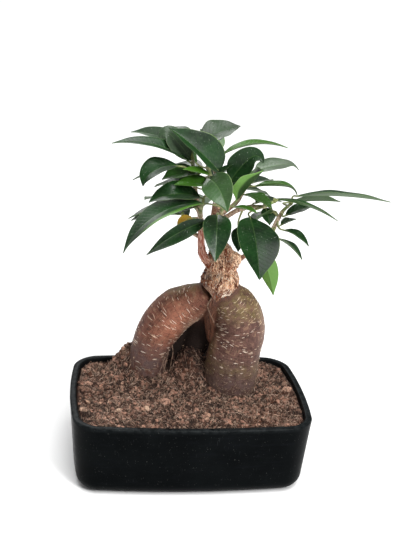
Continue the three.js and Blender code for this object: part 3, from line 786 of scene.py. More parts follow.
def soil_places(count):
    """Random places on the soil, spread evenly, clear of the roots, with how much each one is darkened."""
    index = RNG.uniform(0, len(SOIL_EDGE), 2 * count)
    first, second = (SOIL_EDGE[(index.astype(int) + k) % len(SOIL_EDGE)] for k in (0, 1))
    rim = first + (second - first) * (index % 1)[:, None]
    share = np.sqrt(RNG.uniform(0, SOIL_REACH**2, 2 * count))
    x, y = (rim * share[:, None]).T
    places = stack(x, y, soil_height(x, y, share))
    clear = np.min([limb_field(places, name)[0] for name in LEGS], axis=0) > -0.6
    places = places[clear][:count]
    return places, soil_darkening(places)


def soil_darkening(points):
    """How much darker the soil is: painted shade, deepest under the roots' arch, then darker along the wall
    and in random patches.
    """
    x, y = points[:, 0], points[:, 1]
    arch = np.exp(-((x - ARCH_SHADE_PLACE[0]) ** 2 + (y - ARCH_SHADE_PLACE[1]) ** 2) / (2 * ARCH_SHADE_SPREAD**2))
    wall = smoothstep(soil_share(x, y), 0.7, 1.0)
    return np.clip(0.08 + 0.85 * arch + 0.5 * wall + 0.6 * noise(stack(x, y, 0 * x), 17, 54, 2), 0, 0.92)


def soil_material(name, dark, light, scale):
    s = Shader(name)
    tone, red, dry = s.values("soil_look")
    grain = s.noise(s.place, scale, 4, 0.7)
    clump = s.noise(s.place, 210, 3, 0.65)
    base = s.mix(tone, rgb(*dark), rgb(*light))
    base = s.over(base, red, 0.55, 128, 72, 44)
    base = s.over(base, dry, 0.75, 206, 178, 152)
    base = s.over(base, s.ramp(grain, 0.55, 0.34), 0.8, 38, 24, 18)
    base = s.over(base, s.ramp(clump, 0.53, 0.37), 0.75, 26, 16, 12)
    base = s.over(base, s.ramp(grain, 0.62, 0.76), 0.5, 200, 168, 144)
    return s.finish(
        Base_Color=base,
        Roughness=s.line(grain, 0.2, 0.72),
        Specular_IOR_Level=0.25,
        Normal=s.bump(grain, 0.0008, 0.8),
    )


SMALL_CRUMBS, LARGE_CRUMBS, COIR_FIBRES = 3300, 220, 3400
PALE_LUMPS = [  # x, y, size, redness, dryness
    [-81, -15, 3.4, 0.9, 0.55], [-57, -29, 3.2, 0.35, 0.95], [-36, -27, 4.6, 0, 0.85],
    [-84, -27, 4.2, 0, 0.6], [83, 8, 5.6, 0.2, 0.35], [-78, 42, 3.6, 0.3, 0.6],
    [-20, -19, 6.2, 0, 0.12], [-71, -16, 3, 0.8, 0.4], [66, -34, 3.2, 0, 0.5],
    [28, -46, 2.6, 0.2, 0.8], [54, -40, 2.8, 0.5, 0.5], [10, -40, 3.2, 0.1, 0.45],
]


def add_soil():
    side = POT_WALL + POT_TAPER + SOIL_GAP
    lowest = ((side + INNER_FOOT_ROUND, POT_FLOOR + 0.4), (side, POT_FLOOR + INNER_FOOT_ROUND + 1))
    rings = [level(pot_outline(inset, *EDGE_STEPS), z) for inset, z in lowest]
    for share in np.concatenate([np.linspace(1, 0.3, 72), np.linspace(0.28, 0.02, 16)]):
        x, y = (SOIL_EDGE * share).T
        rings.append(stack(x, y, soil_height(x, y, np.full(len(x), share))))
    points = np.vstack(rings)
    # The ground's tone and redness drop where the soil is darkened, most under the arch as painted shade.
    dry = 1 - soil_darkening(points)
    tone = (0.35 + 0.3 * noise(points, 7, 51, 2)) * dry
    look = stack(tone, smoothstep(noise(points, 26, 52), 0, 0.8) * dry, 0 * tone)
    ground = Builder()
    ground.add(points, closed_faces(len(rings), len(SOIL_EDGE)), soil_look=look)
    soil = ground.make("soil_ground", soil_material("damp_peat", (30, 18, 13), (108, 80, 66), 900))
    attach(soil, BODY)
    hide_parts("soil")


def add_crumbs():
    builder = Builder()
    small, large = icosphere(1), icosphere(2)
    places, soil_darkness = soil_places(SMALL_CRUMBS)
    reds = smoothstep(noise(places, 26, 52) + 0.3 * noise(places, 5, 53), -0.1, 0.8)
    for place, red, darkness in zip(places, reds, soil_darkness):
        size = 0.55 + 1.5 * RNG.power(1.6) ** 2 * RNG.uniform(0.5, 1)
        stretch = size * RNG.uniform((0.7, 0.6, 0.45), (1.7, 1.1, 0.9))
        # Crumbs darken with the soil beneath them, most under the arch as painted shade.
        look = np.array([RNG.beta(1.6, 2), red * RNG.uniform(0, 1), RNG.power(0.25) * 0.5]) * (1 - darkness)
        turn = turned(*RNG.uniform(-3.1, 3.1, 3))
        add_crumb(builder, small, place + (0, 0, 0.25 * size), stretch, turn, soil_look=look)
    for place in soil_places(LARGE_CRUMBS)[0]:
        size = RNG.uniform(1.2, 2.5)
        stretch = size * RNG.uniform((0.9, 0.7, 0.5), (1.3, 1.1, 0.8))
        look = (RNG.uniform(0.2, 0.9), RNG.uniform(0, 0.5), RNG.power(0.3) * 0.4)
        turn = turned(RNG.uniform(-3, 3), *RNG.uniform(-0.5, 0.5, 2))
        add_crumb(builder, large, place, stretch, turn, soil_look=look)
    for x, y, size, red, dry in PALE_LUMPS:
        z = soil_height(np.array([x]), np.array([y]))[0]
        turn = turned(RNG.uniform(-1, 1), *RNG.uniform(-0.35, 0.35, 2))
        stretch = size * np.array([0.8, 0.6, 0.45])
        add_crumb(builder, large, (x, y, z + 0.1 * size), stretch, turn, soil_look=(0.8, red, dry))
    material = soil_material("peat_crumbs", (50, 30, 23), (202, 154, 132), 1300)
    piece = builder.make("soil_crumbs", material, smooth=False)
    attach(piece, BODY)


def add_coir():
    builder = Builder()
    s = np.linspace(0, 1, 6)
    for place, darkness in zip(*soil_places(COIR_FIBRES)):
        length = 3 + 11 * RNG.beta(1.4, 3)
        turn, bend = RNG.uniform(-3.14, 3.14), RNG.normal(0, 1.9)
        way = turn + bend * s
        x = place[0] + length * np.cumsum(np.cos(way)) / 6
        y = place[1] + length * np.cumsum(np.sin(way)) / 6
        beyond = np.maximum(soil_share(x, y) / SOIL_REACH, 1)
        x, y = x / beyond, y / beyond
        lift = 0.3 + RNG.uniform(0.1, 2.6) * np.sin(np.pi * s) * RNG.uniform(0, 1) + RNG.normal(0, 0.3, 6)
        line = stack(x, y, soil_height(x, y) + lift)
        # Fibres darken with the soil beneath them, most under the arch as painted shade.
        look = np.array([RNG.uniform(0.2, 1), RNG.uniform(0, 0.7), RNG.power(0.5)]) * (1 - 0.7 * darkness)
        add_fibre(builder, line, RNG.uniform(0.12, 0.29), soil_look=look)
    piece = builder.make("soil_fibres", soil_material("coir_fibre", (92, 64, 50), (236, 204, 184), 500))
    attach(piece, BODY)


# What grows on the wood: pale dashes, flakes of bark, rootlets and the soil that clings to it

def on_limb(name, low, high, count):
    """Random points on a limb between two shares of its run, the ways out and along, and their shares."""
    centres, radii, _, side, across = LINES[name]
    steps = np.arange(len(centres))
    place = RNG.uniform(low, high, count) * steps[-1]
    angle = RNG.uniform(0, 2 * np.pi, count)[:, None]
    row = np.clip(np.round(place).astype(int), 0, steps[-1])
    ring = side[row] * np.cos(angle) + across[row] * np.sin(angle)
    points = between(place, steps, centres) + ring * np.interp(place, steps, radii)[:, None]
    points, out, _, parts = settle(points, 3)
    return points, out, unit(np.gradient(centres, axis=0))[row], parts


def dash_material():
    s = Shader("pale_bark_dash")
    tone, olive, soil_and_shade = s.values("dash_look")
    grain = s.noise(s.place, 1800, 3, 0.6)
    base = s.mix(tone, rgb(210, 172, 138), rgb(255, 240, 222))
    base = s.over(base, olive, 1, 176, 160, 104)
    base = s.over(base, s.ramp(grain, 0.5, 0.3), 0.5, 120, 84, 66)
    # Dark brown on dashes: grime low on the legs, and painted shade on the rear roots' faces towards the
    # hollow.
    base = s.over(base, soil_and_shade, 1, 46, 32, 26)
    return s.finish(
        Base_Color=base, Roughness=0.72, Specular_IOR_Level=0.3, Normal=s.bump(grain, 0.0003, 0.6)
    )


SHOULDER_STRANDS = 9
DASHES = {  # how many, from and to along the limb, the longest dash
    "left_leg": (330, 0.1, 0.78, 9.5),
    "right_leg": (560, 0.04, 0.72, 7),
    "rear_leg": (60, 0.1, 0.5, 4),
    "rear_prop": (20, 0.1, 0.5, 4),
}


def add_dashes():
    builder = Builder()
    u, v = np.meshgrid(np.linspace(-1, 1, 7), np.linspace(-1, 1, 3), indexing="ij")
    outline = np.sqrt(np.maximum(1 - u**2, 0.05))
    height = np.where(np.abs(v) < 0.5, 0.26 * outline, -0.12).ravel()
    quads = grid_faces(*u.shape)[:, ::-1]
    for name, (count, low, high, longest) in DASHES.items():
        points, out, forward, parts = on_limb(name, low, high, count)
        keep = (share_of(parts, name) > 0.8) & (points[:, 2] > RNG.uniform(64, 86, count))
        points, out, forward = points[keep], out[keep], forward[keep]
        count, z = len(points), points[:, 2]
        axes = basis(out, np.cross(forward, out))[:, None, None]
        length = 0.6 + (longest / 2 - 0.6) * RNG.beta(1.1, 3.0, count)
        width = RNG.uniform(0.14, 0.25, count) + 0.025 * length
        crossed = smoothstep(z, 112, 124) * (name == "right_leg")
        tilt = RNG.normal(0, 0.12 + 0.14 * crossed)[:, None, None]
        a = u * length[:, None, None]
        b = v * outline * width[:, None, None] + a * tilt + 0.12 * np.sin(3 * u + 9 * tilt)
        patch = points[:, None, None] + a[..., None] * axes[..., 0] + b[..., None] * axes[..., 1]
        flat, way, *_ = settle(patch.reshape(-1, 3), 2)
        flat = flat + way * np.tile(height, count)[:, None]
        tone, olive = RNG.beta(2, 1.4, count), crossed * RNG.uniform(0, 1, count)
        # Rear roots' dashes get painted shade where they face the hollow; the other legs' low dashes get
        # grime.
        soil_and_shade = smoothstep(out[:, 1], 0.6, 0.1) if name.startswith("rear") else 0.6 * smoothstep(z, 82, 68)
        faces = quads + u.size * np.arange(count)[:, None, None]
        look = np.repeat(stack(tone, olive, soil_and_shade), u.size, axis=0)
        builder.add(flat, [faces.reshape(-1, 4)], dash_look=look)
    for _ in range(SHOULDER_STRANDS):
        ends = SHOULDER_DIP[0] + np.sort(RNG.uniform(1, 19, 2))
        x = np.linspace(*ends, 12)
        shoulder = SHOULDER_DIP[1] + SHOULDER_RIGHT * (x - SHOULDER_DIP[0])
        z = shoulder + RNG.uniform(-3.5, 1.5) + 0.3 * np.sin(x)
        line, way, *_ = settle(stack(x, np.full(12, -8.0), z), 9)
        add_fibre(builder, line + 0.1 * way, RNG.uniform(0.2, 0.36), dash_look=(RNG.uniform(0.3, 1), 0, 0))
    piece = builder.make("bark_dashes", dash_material())
    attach(piece, BODY)


def flake_material():
    s = Shader("flaking_bark")
    tone, red, pale = s.values("flake_look")
    grain = s.noise(s.place, 1500, 3, 0.65)
    base = s.mix(s.ramp(tone, 0.1, 0.8), rgb(70, 34, 20), rgb(255, 208, 168))
    base = s.over(base, red, 0.65, 160, 78, 44)
    # Pale bleached flakes, with more of them where the trunk takes painted light.
    base = s.over(base, pale, 0.85, 246, 228, 208)
    base = s.over(base, s.ramp(grain, 0.5, 0.3), 0.45, 90, 54, 38)
    return s.finish(
        Base_Color=base, Roughness=0.78, Specular_IOR_Level=0.3, Normal=s.bump(grain, 0.0004, 0.7)
    )


FLAKES = {  # how many, from and to along the limb, the longest flake
    "neck": (900, 0.1, 1.0, 3),
    "snag": (40, 0.2, 0.95, 1.8),
    "right_stub": (70, 0.3, 0.95, 1.6),
    "leader": (90, 0.1, 0.8, 1.3),
    "left_branch": (110, 0.1, 0.6, 1.4),
    "right_branch": (50, 0.05, 0.4, 1.2),
    "rear_branch": (60, 0.1, 0.8, 1.2),
}
CHIP_SHARE = 0.55
# How far each kind strays from the limb's run, then its least and its most size
CHIP = (0.9, (0.15, 0.12, 0.06), (0.5, 0.4, 0.16))
SLIVER = (0.25, (0.3, 0.1, 0.06), (1.3, 0.24, 0.16))


def add_flakes():
    builder = Builder()
    shape = icosphere(1)
    for name, (count, low, high, longest) in FLAKES.items():
        points, out, forward, parts = on_limb(name, low, high, count)
        keep = (share_of(parts, *TRUNK, *TWIGS) > 0.7) & (bark_tints(points, out, parts)[1][:, 0] > 0.15)
        # Flakes are paler and more often bleached in random patches. They stay darker as painted shade on the
        # trunk's left side, and darker towards the bottom.
        zone = smoothstep(noise(points, 6, 71, 2), -0.3, 0.3) * smoothstep(-out[:, 0], 0.8, 0.2)
        zone *= smoothstep(points[:, 2], 139, 153)
        for place, way, along, pale in zip(points[keep], out[keep], forward[keep], zone[keep]):
            lean = unit(way + 0.45 * RNG.normal(size=3))
            stray, least, most = CHIP if RNG.uniform() < CHIP_SHARE else SLIVER
            axes = basis(lean, along + stray * RNG.normal(size=3))
            size = RNG.uniform(least, most) * longest
            bleached = RNG.power(0.6) if RNG.uniform() < 0.1 + 0.6 * pale else 0
            # The flake's tone is lowered by the same painted shade.
            look = (RNG.beta(0.7, 0.8) * (0.4 + 0.6 * pale), RNG.power(0.8), bleached)
            add_crumb(builder, shape, place + way * 0.1, size, axes, flake_look=look)
    piece = builder.make("bark_flakes", flake_material(), smooth=False)
    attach(piece, BODY)


ROOTLETS = [  # x, y, z of the bends of each thin root, then its radius
    ([[13, 2, 140], [10.5, 2, 133], [13, 1.5, 126], [16.5, 1.2, 120]], 0.45),
    ([[13, 1.5, 126], [15.6, 0.5, 121], [17.5, 0, 116.5]], 0.32),
    ([[-14, 18, 93], [-13, 14, 86], [-14.5, 11, 78], [-15, 9, 70]], 0.3),
    ([[-16, 18, 90], [-18, 13, 80], [-20, 10, 72], [-19, 8, 64]], 0.26),
    ([[-18, 18, 86], [-21, 12, 77], [-24, 9, 68], [-25, 6, 61]], 0.22),
    ([[-20, 17, 84], [-20, 12, 74], [-17, 9, 66]], 0.2),
]
# How many fibres and grains cling to a root, and up to what height
CLINGING = {"right_leg": (1300, 90), "left_leg": (620, 80), "rear_leg": (260, 90)}


def add_clinging_soil():
    """Fibres and grains that stick to the lower roots, and the thin roots between them."""
    builder = Builder()
    small = icosphere(1)
    s = np.linspace(0, 1, 5)
    for name, (count, high) in CLINGING.items():
        points, out, *_ = on_limb(name, 0.42, 0.95, 3 * count)
        ground = soil_height(points[:, 0], points[:, 1])
        up = (points[:, 2] - ground) / (high - ground).clip(6)
        keep = (up > -0.02) & (up < 1) & (RNG.uniform(size=len(up)) > up.clip(0, 1) ** 0.8)
        for i, (place, way) in enumerate(zip(points[keep][:count], out[keep][:count])):
            look = (RNG.uniform(0.2, 1), RNG.uniform(0, 0.6), RNG.power(0.5))
            if i % 5 == 0:
                size = RNG.uniform(0.35, 0.9) * np.array([1, 0.8, 0.6])
                add_crumb(builder, small, place, size, turned(*RNG.uniform(-3, 3, 3)), soil_look=look)
                continue
            along, beside, _ = basis(way, RNG.normal(size=3)).T
            length, bend = RNG.uniform(1.2, 5.5), RNG.normal(0, 1.2)
            a, b = (length * np.cumsum(f(bend * s))[:, None] / 5 for f in (np.cos, np.sin))
            lift = 0.12 + 0.5 * np.sin(np.pi * s) * RNG.uniform(0, 1)
            line = place + a * along + b * beside + lift[:, None] * way
            add_fibre(builder, line, RNG.uniform(0.09, 0.17), soil_look=look)
    for bends, radius in ROOTLETS:
        line = curve(bends, np.linspace(0, 1, 14))
        line += 0.25 * stack(*(noise(line, 3, k + 60) for k in range(3)))
        builder.add(*tube(line, radius * np.linspace(1.2, 0.5, 14), 6), soil_look=(0.4, 0.3, 0.25))
    material = soil_material("clinging_coir", (98, 74, 62), (178, 150, 130), 900)
    piece = builder.make("clinging_fibres", material)
    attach(piece, BODY)


# Leaves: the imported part's blades, finer, with a midrib, veins and a thin margin

LEAF_SHAPE = [  # shares of its length and of its half width
    [0, 0.05], [0.07, 0.36], [0.2, 0.77], [0.38, 1], [0.57, 0.93], [0.75, 0.64], [0.9, 0.26], [1, 0.03],
]
LEAF_ROWS = 34
LEAF_COLUMNS = [0.05, 0.14, 0.28, 0.44, 0.6, 0.76, 0.9, 0.975, 1]
CURL_START, CURL_END = 0.62, 1.1
BLADE_HALF, BLADE_RIPPLE = 0.3, 0.022
RIB_WIDTH, RIB_DIP, RIB_KEEL = 0.6, 0.22, 0.5
VEIN_GAP = 3.3
DARKEST, LIGHTEST = (0.55, 0.55, 0.55, 1), (1.3, 1.3, 1.3, 1)
STEM_ROWS, STEM_SIDES, STALK_ROWS, STALK_SIDES = 26, 12, 14, 8
STALK_TAPER = ([0, 0.12, 0.3, 0.75, 1], [1.35, 1.05, 0.85, 0.85, 0.35])
BUD = np.array([0.95, 1.15, 1.2, 1.12, 0.95, 0.74, 0.5, 0.28, 0.08])
PETIOLE_RADIUS, PETIOLE_SEAT, PETIOLE_ARCH = 0.8, 2.5, 0.35


class Leaf:
    """One leaf: where it sits on the stem, where it starts, its direction, size, bends and looks."""

    fold, belly, curl = 18, 1, 0
    # Looks: young green that also stands in for light shining through, painted shade, grey painted sheen, a
    # bright edge band, and bands of painted light and shade.
    fresh_and_backlit, shade, painted_sheen, edge, bands = 0, 0, 0, 0, None

    def __init__(self, node, at, turn, rise, long, wide, roll, droop, **more):
        self.node, self.at = node, at
        self.turn, self.rise = turn, rise
        self.long, self.wide = long, wide
        self.roll, self.droop = roll, droop
        vars(self).update(more)


SHOOTS = {  # the stem's stops of x, y, z and radius, then its leaves
    "shoot_top": [
        [[12.7, 12.9, 222.6, 2.3], [11, 12, 234, 1.9], [8, 15, 247, 1.5], [4, 19, 258, 1]],
        Leaf(0.4, [12.5, 10.6, 238.6], 184, 46, 51, 32, -44, 15, fold=34, belly=1.35),
        Leaf(1, [-1, 22, 259.5], 20, 24, 34, 25, 20, 16, shade=-0.3, painted_sheen=0.1),
        Leaf(0.2, [9, 2, 230.8], 192, 6, 32, 18, -15, 10, fresh_and_backlit=0.45),
        Leaf(0.3, [3, 2, 235.5], -71, 6, 40, 23, 36, 60, fold=14, fresh_and_backlit=0.12, shade=0.25, painted_sheen=0.05),
        Leaf(0.7, [16, 20, 250], 8, 29, 53, 15, -4, 47, fresh_and_backlit=0.5),
        Leaf(0.3, [20.5, 6, 232], -26, 64, 38, 22, 70, 26, curl=135, shade=-0.3),
        Leaf(0.4, [11, 3, 238], 20, 40, 13, 8, 0, 10, shade=-0.5),
        Leaf(0.9, [9, 27, 256], 80, 14, 46, 25, 0, 34),
        Leaf(0.3, [4.2, 0, 238.6], 186, 16, 21, 12, -12, 10, fresh_and_backlit=0.8),
    ],
    "shoot_left": [
        [[0.8, 9, 203, 2.1], [-3, 9, 216, 1.9], [-6, 10, 232, 1.6], [-8, 12, 247, 1.1]],
        Leaf(0.95, [-12, 22, 250], 158, 32, 46, 23, -12, 40, shade=0.3, painted_sheen=0.04),
        Leaf(0.9, [-10.5, 8, 245.8], 184, 36, 61, 14, -22, 48),
        Leaf(0.95, [-8, 12, 246], 176, 50, 37, 20, -50, 10, fold=8, curl=175, shade=-0.1, painted_sheen=0.12),
        Leaf(0.75, [-19.5, 2, 243.8], 206, 13, 35, 24, -13, 65, curl=36, belly=0.85, shade=-0.35),
        Leaf(0.7, [-12, 20, 238], 160, -8, 44, 18, 0, 24, shade=-0.4),
        Leaf(0.7, [-3, 10, 237.4], 192, 3, 29, 20, -14, 26, fresh_and_backlit=0.2, shade=-0.2),
        Leaf(1, [-10, 22, 253], 112, 24, 46, 24, 0, 35, shade=-0.3),
    ],
    "shoot_low_left": [
        [[2.4, 8, 194, 1.8], [0, 1, 202, 1.6], [-1, -3, 211, 1.4], [0, -4, 219, 1]],
        Leaf(0.35, [3.5, -5, 204.5], 211, -6, 57, 15, -66, 26, fold=34, shade=-0.5),
        Leaf(0.9, [-2, -2, 221.5], 192, 22, 41, 24, -22, 52),
        Leaf(0.8, [-5, 6, 213], 165, -5, 53, 20, 0, 26, belly=0.8),
        Leaf(0.6, [-6, 4, 212], 200, 0, 26, 14, -10, 20, shade=-0.4),
    ],
    "shoot_front": [
        [[17.7, 12.6, 201, 1.9], [16, 5, 206, 1.7], [15, 0, 211, 1.4], [14, -4, 217, 1]],
        Leaf(0.4, [11.5, -3, 209], -97, -5, 45, 22, 0, 60),
        Leaf(0.9, [-1, -10, 219.5], 197, 8, 74, 28, -5, 75, fold=10, edge=1),
        Leaf(0.7, [24, -4, 216], -40, 8, 20, 10, 0, 20, fresh_and_backlit=0.45),
    ],
    "shoot_mid_right": [
        [
            [20.6, 14.4, 201.5, 1.9], [29, 9, 209.5, 1.8], [38, 4, 214, 1.6],
            [47, 0, 215.8, 1.4], [54, -1, 220, 1],
        ],
        Leaf(0.75, [34.8, -12, 210.5], -88, -13, 57, 34.5, -12, 42, belly=0.88, shade=-0.25),
        Leaf(0.35, [29, 1, 198.5], -95, -35, 21, 12, 0, 20, shade=-0.4),
        Leaf(1, [55, 0, 222], -18, 2, 50, 13, -10, 30),
        Leaf(0.5, [42, 8, 216], 30, 5, 27, 18, 0, 20, fresh_and_backlit=0.1),
    ],
    "shoot_right": [
        [[58.4, 10.8, 194.9, 1.7], [61, 10, 203, 1.6], [64, 9, 210, 1.4], [69, 8, 216, 1]],
        Leaf(1, [73, 6, 223.2], -3, 7, 73, 20, -12, 16),
        Leaf(0.9, [71, 22, 213.2], 14, 5, 46, 17, -30, 13, shade=-0.2),
        Leaf(0.6, [65, 4, 208], 0, 28, 23, 13, 14, 14, shade=-0.2),
        Leaf(0.3, [62.5, 5, 200], 8, 28, 13, 12, 0, 15),
        Leaf(0.2, [65, 2, 197], -30, -4, 23, 13, 0, 40),
        Leaf(0.1, [61, -1, 191], -45, -10, 25, 15, -20, 33),
        Leaf(0.05, [45.4, -2, 182], 33, -52, 48, 17, -40, 22, fresh_and_backlit=1),
        Leaf(0.4, [57, 14, 207.5], 200, -6, 26, 22, 20, 55, shade=-0.3),
        Leaf(0.4, [52, 18, 209.5], -75, -40, 15, 13, 0, 15, shade=-0.3),
    ],
    "shoot_upper_right": [
        [[18.4, 14.4, 205, 1.9], [28, 14, 214, 1.7], [34, 15, 225, 1.5], [39, 16, 236, 1]],
        Leaf(0.7, [41, 11, 228.4], -13, 12, 35, 18, -8, 20, curl=70, fresh_and_backlit=0.4),
        Leaf(1, [41.4, 18.6, 238], 15, 17, 39.5, 16, 22, 22, curl=50, belly=1.25, shade=0.5, painted_sheen=0.28),
        # Painted light along one edge band, painted shade over the middle, and painted light again along the
        # other edge.
        Leaf(0.3, [26, 4, 218], -36, 58, 34, 35, 5, 8, fold=26, belly=0.7,
             bands=[(-0.6, 1), (0.6, -0.45), (1, 0.6)]),
        Leaf(0.8, [40, 22, 227.6], 24, 12, 21, 20, 0, 26),
        Leaf(0.4, [32, 5, 223.2], -42, 0, 26, 18, 0, 24, fresh_and_backlit=0.2),
    ],
    "shoot_rear": [
        [[16.6, 43.4, 204.6, 2], [15, 47, 214, 1.8], [12, 49, 224, 1.5], [10, 51, 233, 1]],
        Leaf(0.3, [20, 50, 212], 25, 8, 52, 26, 5, 34, shade=-0.4),
        Leaf(0.4, [2, 53, 214], 138, 6, 44, 25, -5, 36, shade=-0.4),
        Leaf(0.6, [14, 57, 221], 62, 14, 50, 25, 0, 40),
        Leaf(0.7, [3, 58, 222], 112, 16, 52, 26, 0, 44),
        Leaf(0.2, [9, 56, 206], 88, -12, 54, 28, 0, 40),
        Leaf(0.9, [1, 56, 233], 142, 28, 40, 22, 0, 32, fresh_and_backlit=0.25),
        Leaf(1, [12, 58, 236], 80, 34, 42, 22, 0, 30, fresh_and_backlit=0.4),
    ],
    "shoot_low_rear": [
        [[2.4, 10.4, 186, 1.8], [-5, 17, 189, 1.7], [-10, 23, 196, 1.4], [-12, 27, 204, 1]],
        Leaf(1, [-16, 32, 207], 128, 6, 38, 24, -5, 34),
        Leaf(0.7, [-14, 21, 201], 176, 2, 38, 22, -8, 26),
        Leaf(0.8, [-6, 30, 197], 122, -4, 46, 24, 0, 32),
    ],
    "yellow_leaf": [
        [[-3, -0.6, 205.3, 0.9], [-7, -3.8, 206, 0.8]],
        Leaf(1, [-7, -3.8, 206], 206, 2, 15, 9.5, -25, 60),
    ],
}


def leaf_material(name, *colours):
    s = Shader(name)
    dark, mid, fresh_and_backlit_colour, under, rib_colour = (rgb(*colour) for colour in colours)
    along, across, side = s.values("leaf_mm")
    t, v, painted_sheen = s.values("leaf_share")
    shade, fresh_and_backlit, edge = s.values("leaf_look")
    out, off = s.math("ABSOLUTE", v), s.math("ABSOLUTE", across)
    upper = s.ramp(side, -0.2, 0.2)

    rib = s.ramp(s.math("DIVIDE", off, s.line(t, -0.42, 0.62)), 1.0, 0.45)
    course = s.line(s.math("POWER", out, 4), -1.6, s.line(off, -0.6, along))
    course = s.line(s.math("GREATER_THAN", v, 0), 1.3, course)
    wave = s.math("FRACT", s.math("DIVIDE", course, VEIN_GAP))
    wave = s.math("ABSOLUTE", s.math("SUBTRACT", wave, 0.5))
    vein = s.times(s.ramp(wave, 0.1, 0.01), s.ramp(out, 0.97, 0.75))
    small = s.ramp(s.cells(s.place, 700, "DISTANCE_TO_EDGE").outputs["Distance"], 0.09, 0.01)

    patch = s.noise(s.place, 55, 3, 0.55)
    fine = s.noise(s.place, 420, 3, 0.6)
    patchy = s.ramp(patch, 0.3, 0.7)
    glow = s.times(edge, s.times(s.ramp(v, 0.5, 0.72), s.ramp(t, 0.82, 0.5)))
    fresh_and_backlit = s.math("MAXIMUM", fresh_and_backlit, glow)
    # Young leaves' bright green, which also stands in for light shining through the blade.
    top = s.mix(s.times(fresh_and_backlit, 0.9), s.mix(patchy, dark, mid), fresh_and_backlit_colour)
    top = s.mix(s.times(s.ramp(fine, 0.45, 0.75), 0.25), top, s.over(top, 0.5, 1, 96, 128, 84))
    top = s.mix(s.times(vein, 0.07), top, rib_colour)
    top = s.mix(s.times(rib, 0.32), top, rib_colour)
    low = s.mix(patchy, under, s.mix(0.25, under, mid))
    low = s.mix(s.times(fresh_and_backlit, 0.85), low, s.over(fresh_and_backlit_colour, 0.35, 1, 150, 196, 110))
    low = s.mix(s.times(s.math("MAXIMUM", vein, s.times(small, 0.4)), 0.3), low, rib_colour)
    low = s.mix(s.times(rib, 0.7), low, rib_colour)
    base = s.over(s.mix(upper, low, top), s.ramp(out, 0.955, 0.995), 0.55, 150, 178, 112)
    base = s.mix(1.0, base, s.mix(shade, DARKEST, LIGHTEST), "MULTIPLY")
    # Grey painted sheen over the leaf.
    base = s.over(base, painted_sheen, 1, 150, 160, 142)
    spot = s.ramp(s.noise(s.place, 1150, 1, 0.5), 0.735, 0.775)
    base = s.over(base, s.times(spot, upper), 0.6, 196, 206, 190)
    height = s.line(patch, 0.8, s.line(vein, -0.22, s.times(fine, 0.35)))
    return s.finish(
        Base_Color=base,
        Roughness=s.line(upper, -0.22, s.line(fine, 0.16, 0.46)),
        Specular_IOR_Level=s.line(shade, 0.55, 0.15),
        Normal=s.bump(height, 0.0005, 0.45),
    )


def stem_material():
    s = Shader("green_stem")
    green, ring, bud = s.values("stem_look")
    grain = s.noise(s.place, 700, 4, 0.65)
    woody = s.mix(s.ramp(grain, 0.35, 0.65), rgb(116, 84, 62), rgb(196, 170, 146))
    base = s.mix(green, woody, s.mix(s.ramp(grain, 0.3, 0.7), rgb(74, 100, 40), rgb(120, 142, 70)))
    base = s.over(base, ring, 0.75, 214, 196, 172)
    base = s.over(base, bud, 0.6, 168, 96, 84)
    return s.finish(
        Base_Color=base, Roughness=0.5, Specular_IOR_Level=0.45, Normal=s.bump(grain, 0.0003, 0.5)
    )


SHAPE_LINE = curve([[t, w, 0] for t, w in LEAF_SHAPE], np.linspace(0, 1, 200))


def leaf_frames(leaf, t):
    """Centre, side and normal of a blade at shares t of its length."""

    def ways(share):
        curled = leaf.curl * smoothstep(share, CURL_START, CURL_END)
        return heading(leaf.turn, leaf.rise - leaf.droop * share - curled)

    steps = np.linspace(0, 1, 121)
    middles = (steps[1:] + steps[:-1]) / 2
    run = np.cumsum(ways(middles) * leaf.long / len(middles), axis=0)
    centre = between(t, steps, np.vstack([[0, 0, 0], run]) + leaf.at)
    turn, roll = math.radians(leaf.turn), math.radians(leaf.roll)
    left = np.array([-math.sin(turn), math.cos(turn), 0])
    upward = np.cross(ways(t), left)
    side = left * math.cos(roll) + upward * math.sin(roll)
    return centre, side, upward * math.cos(roll) - left * math.sin(roll)


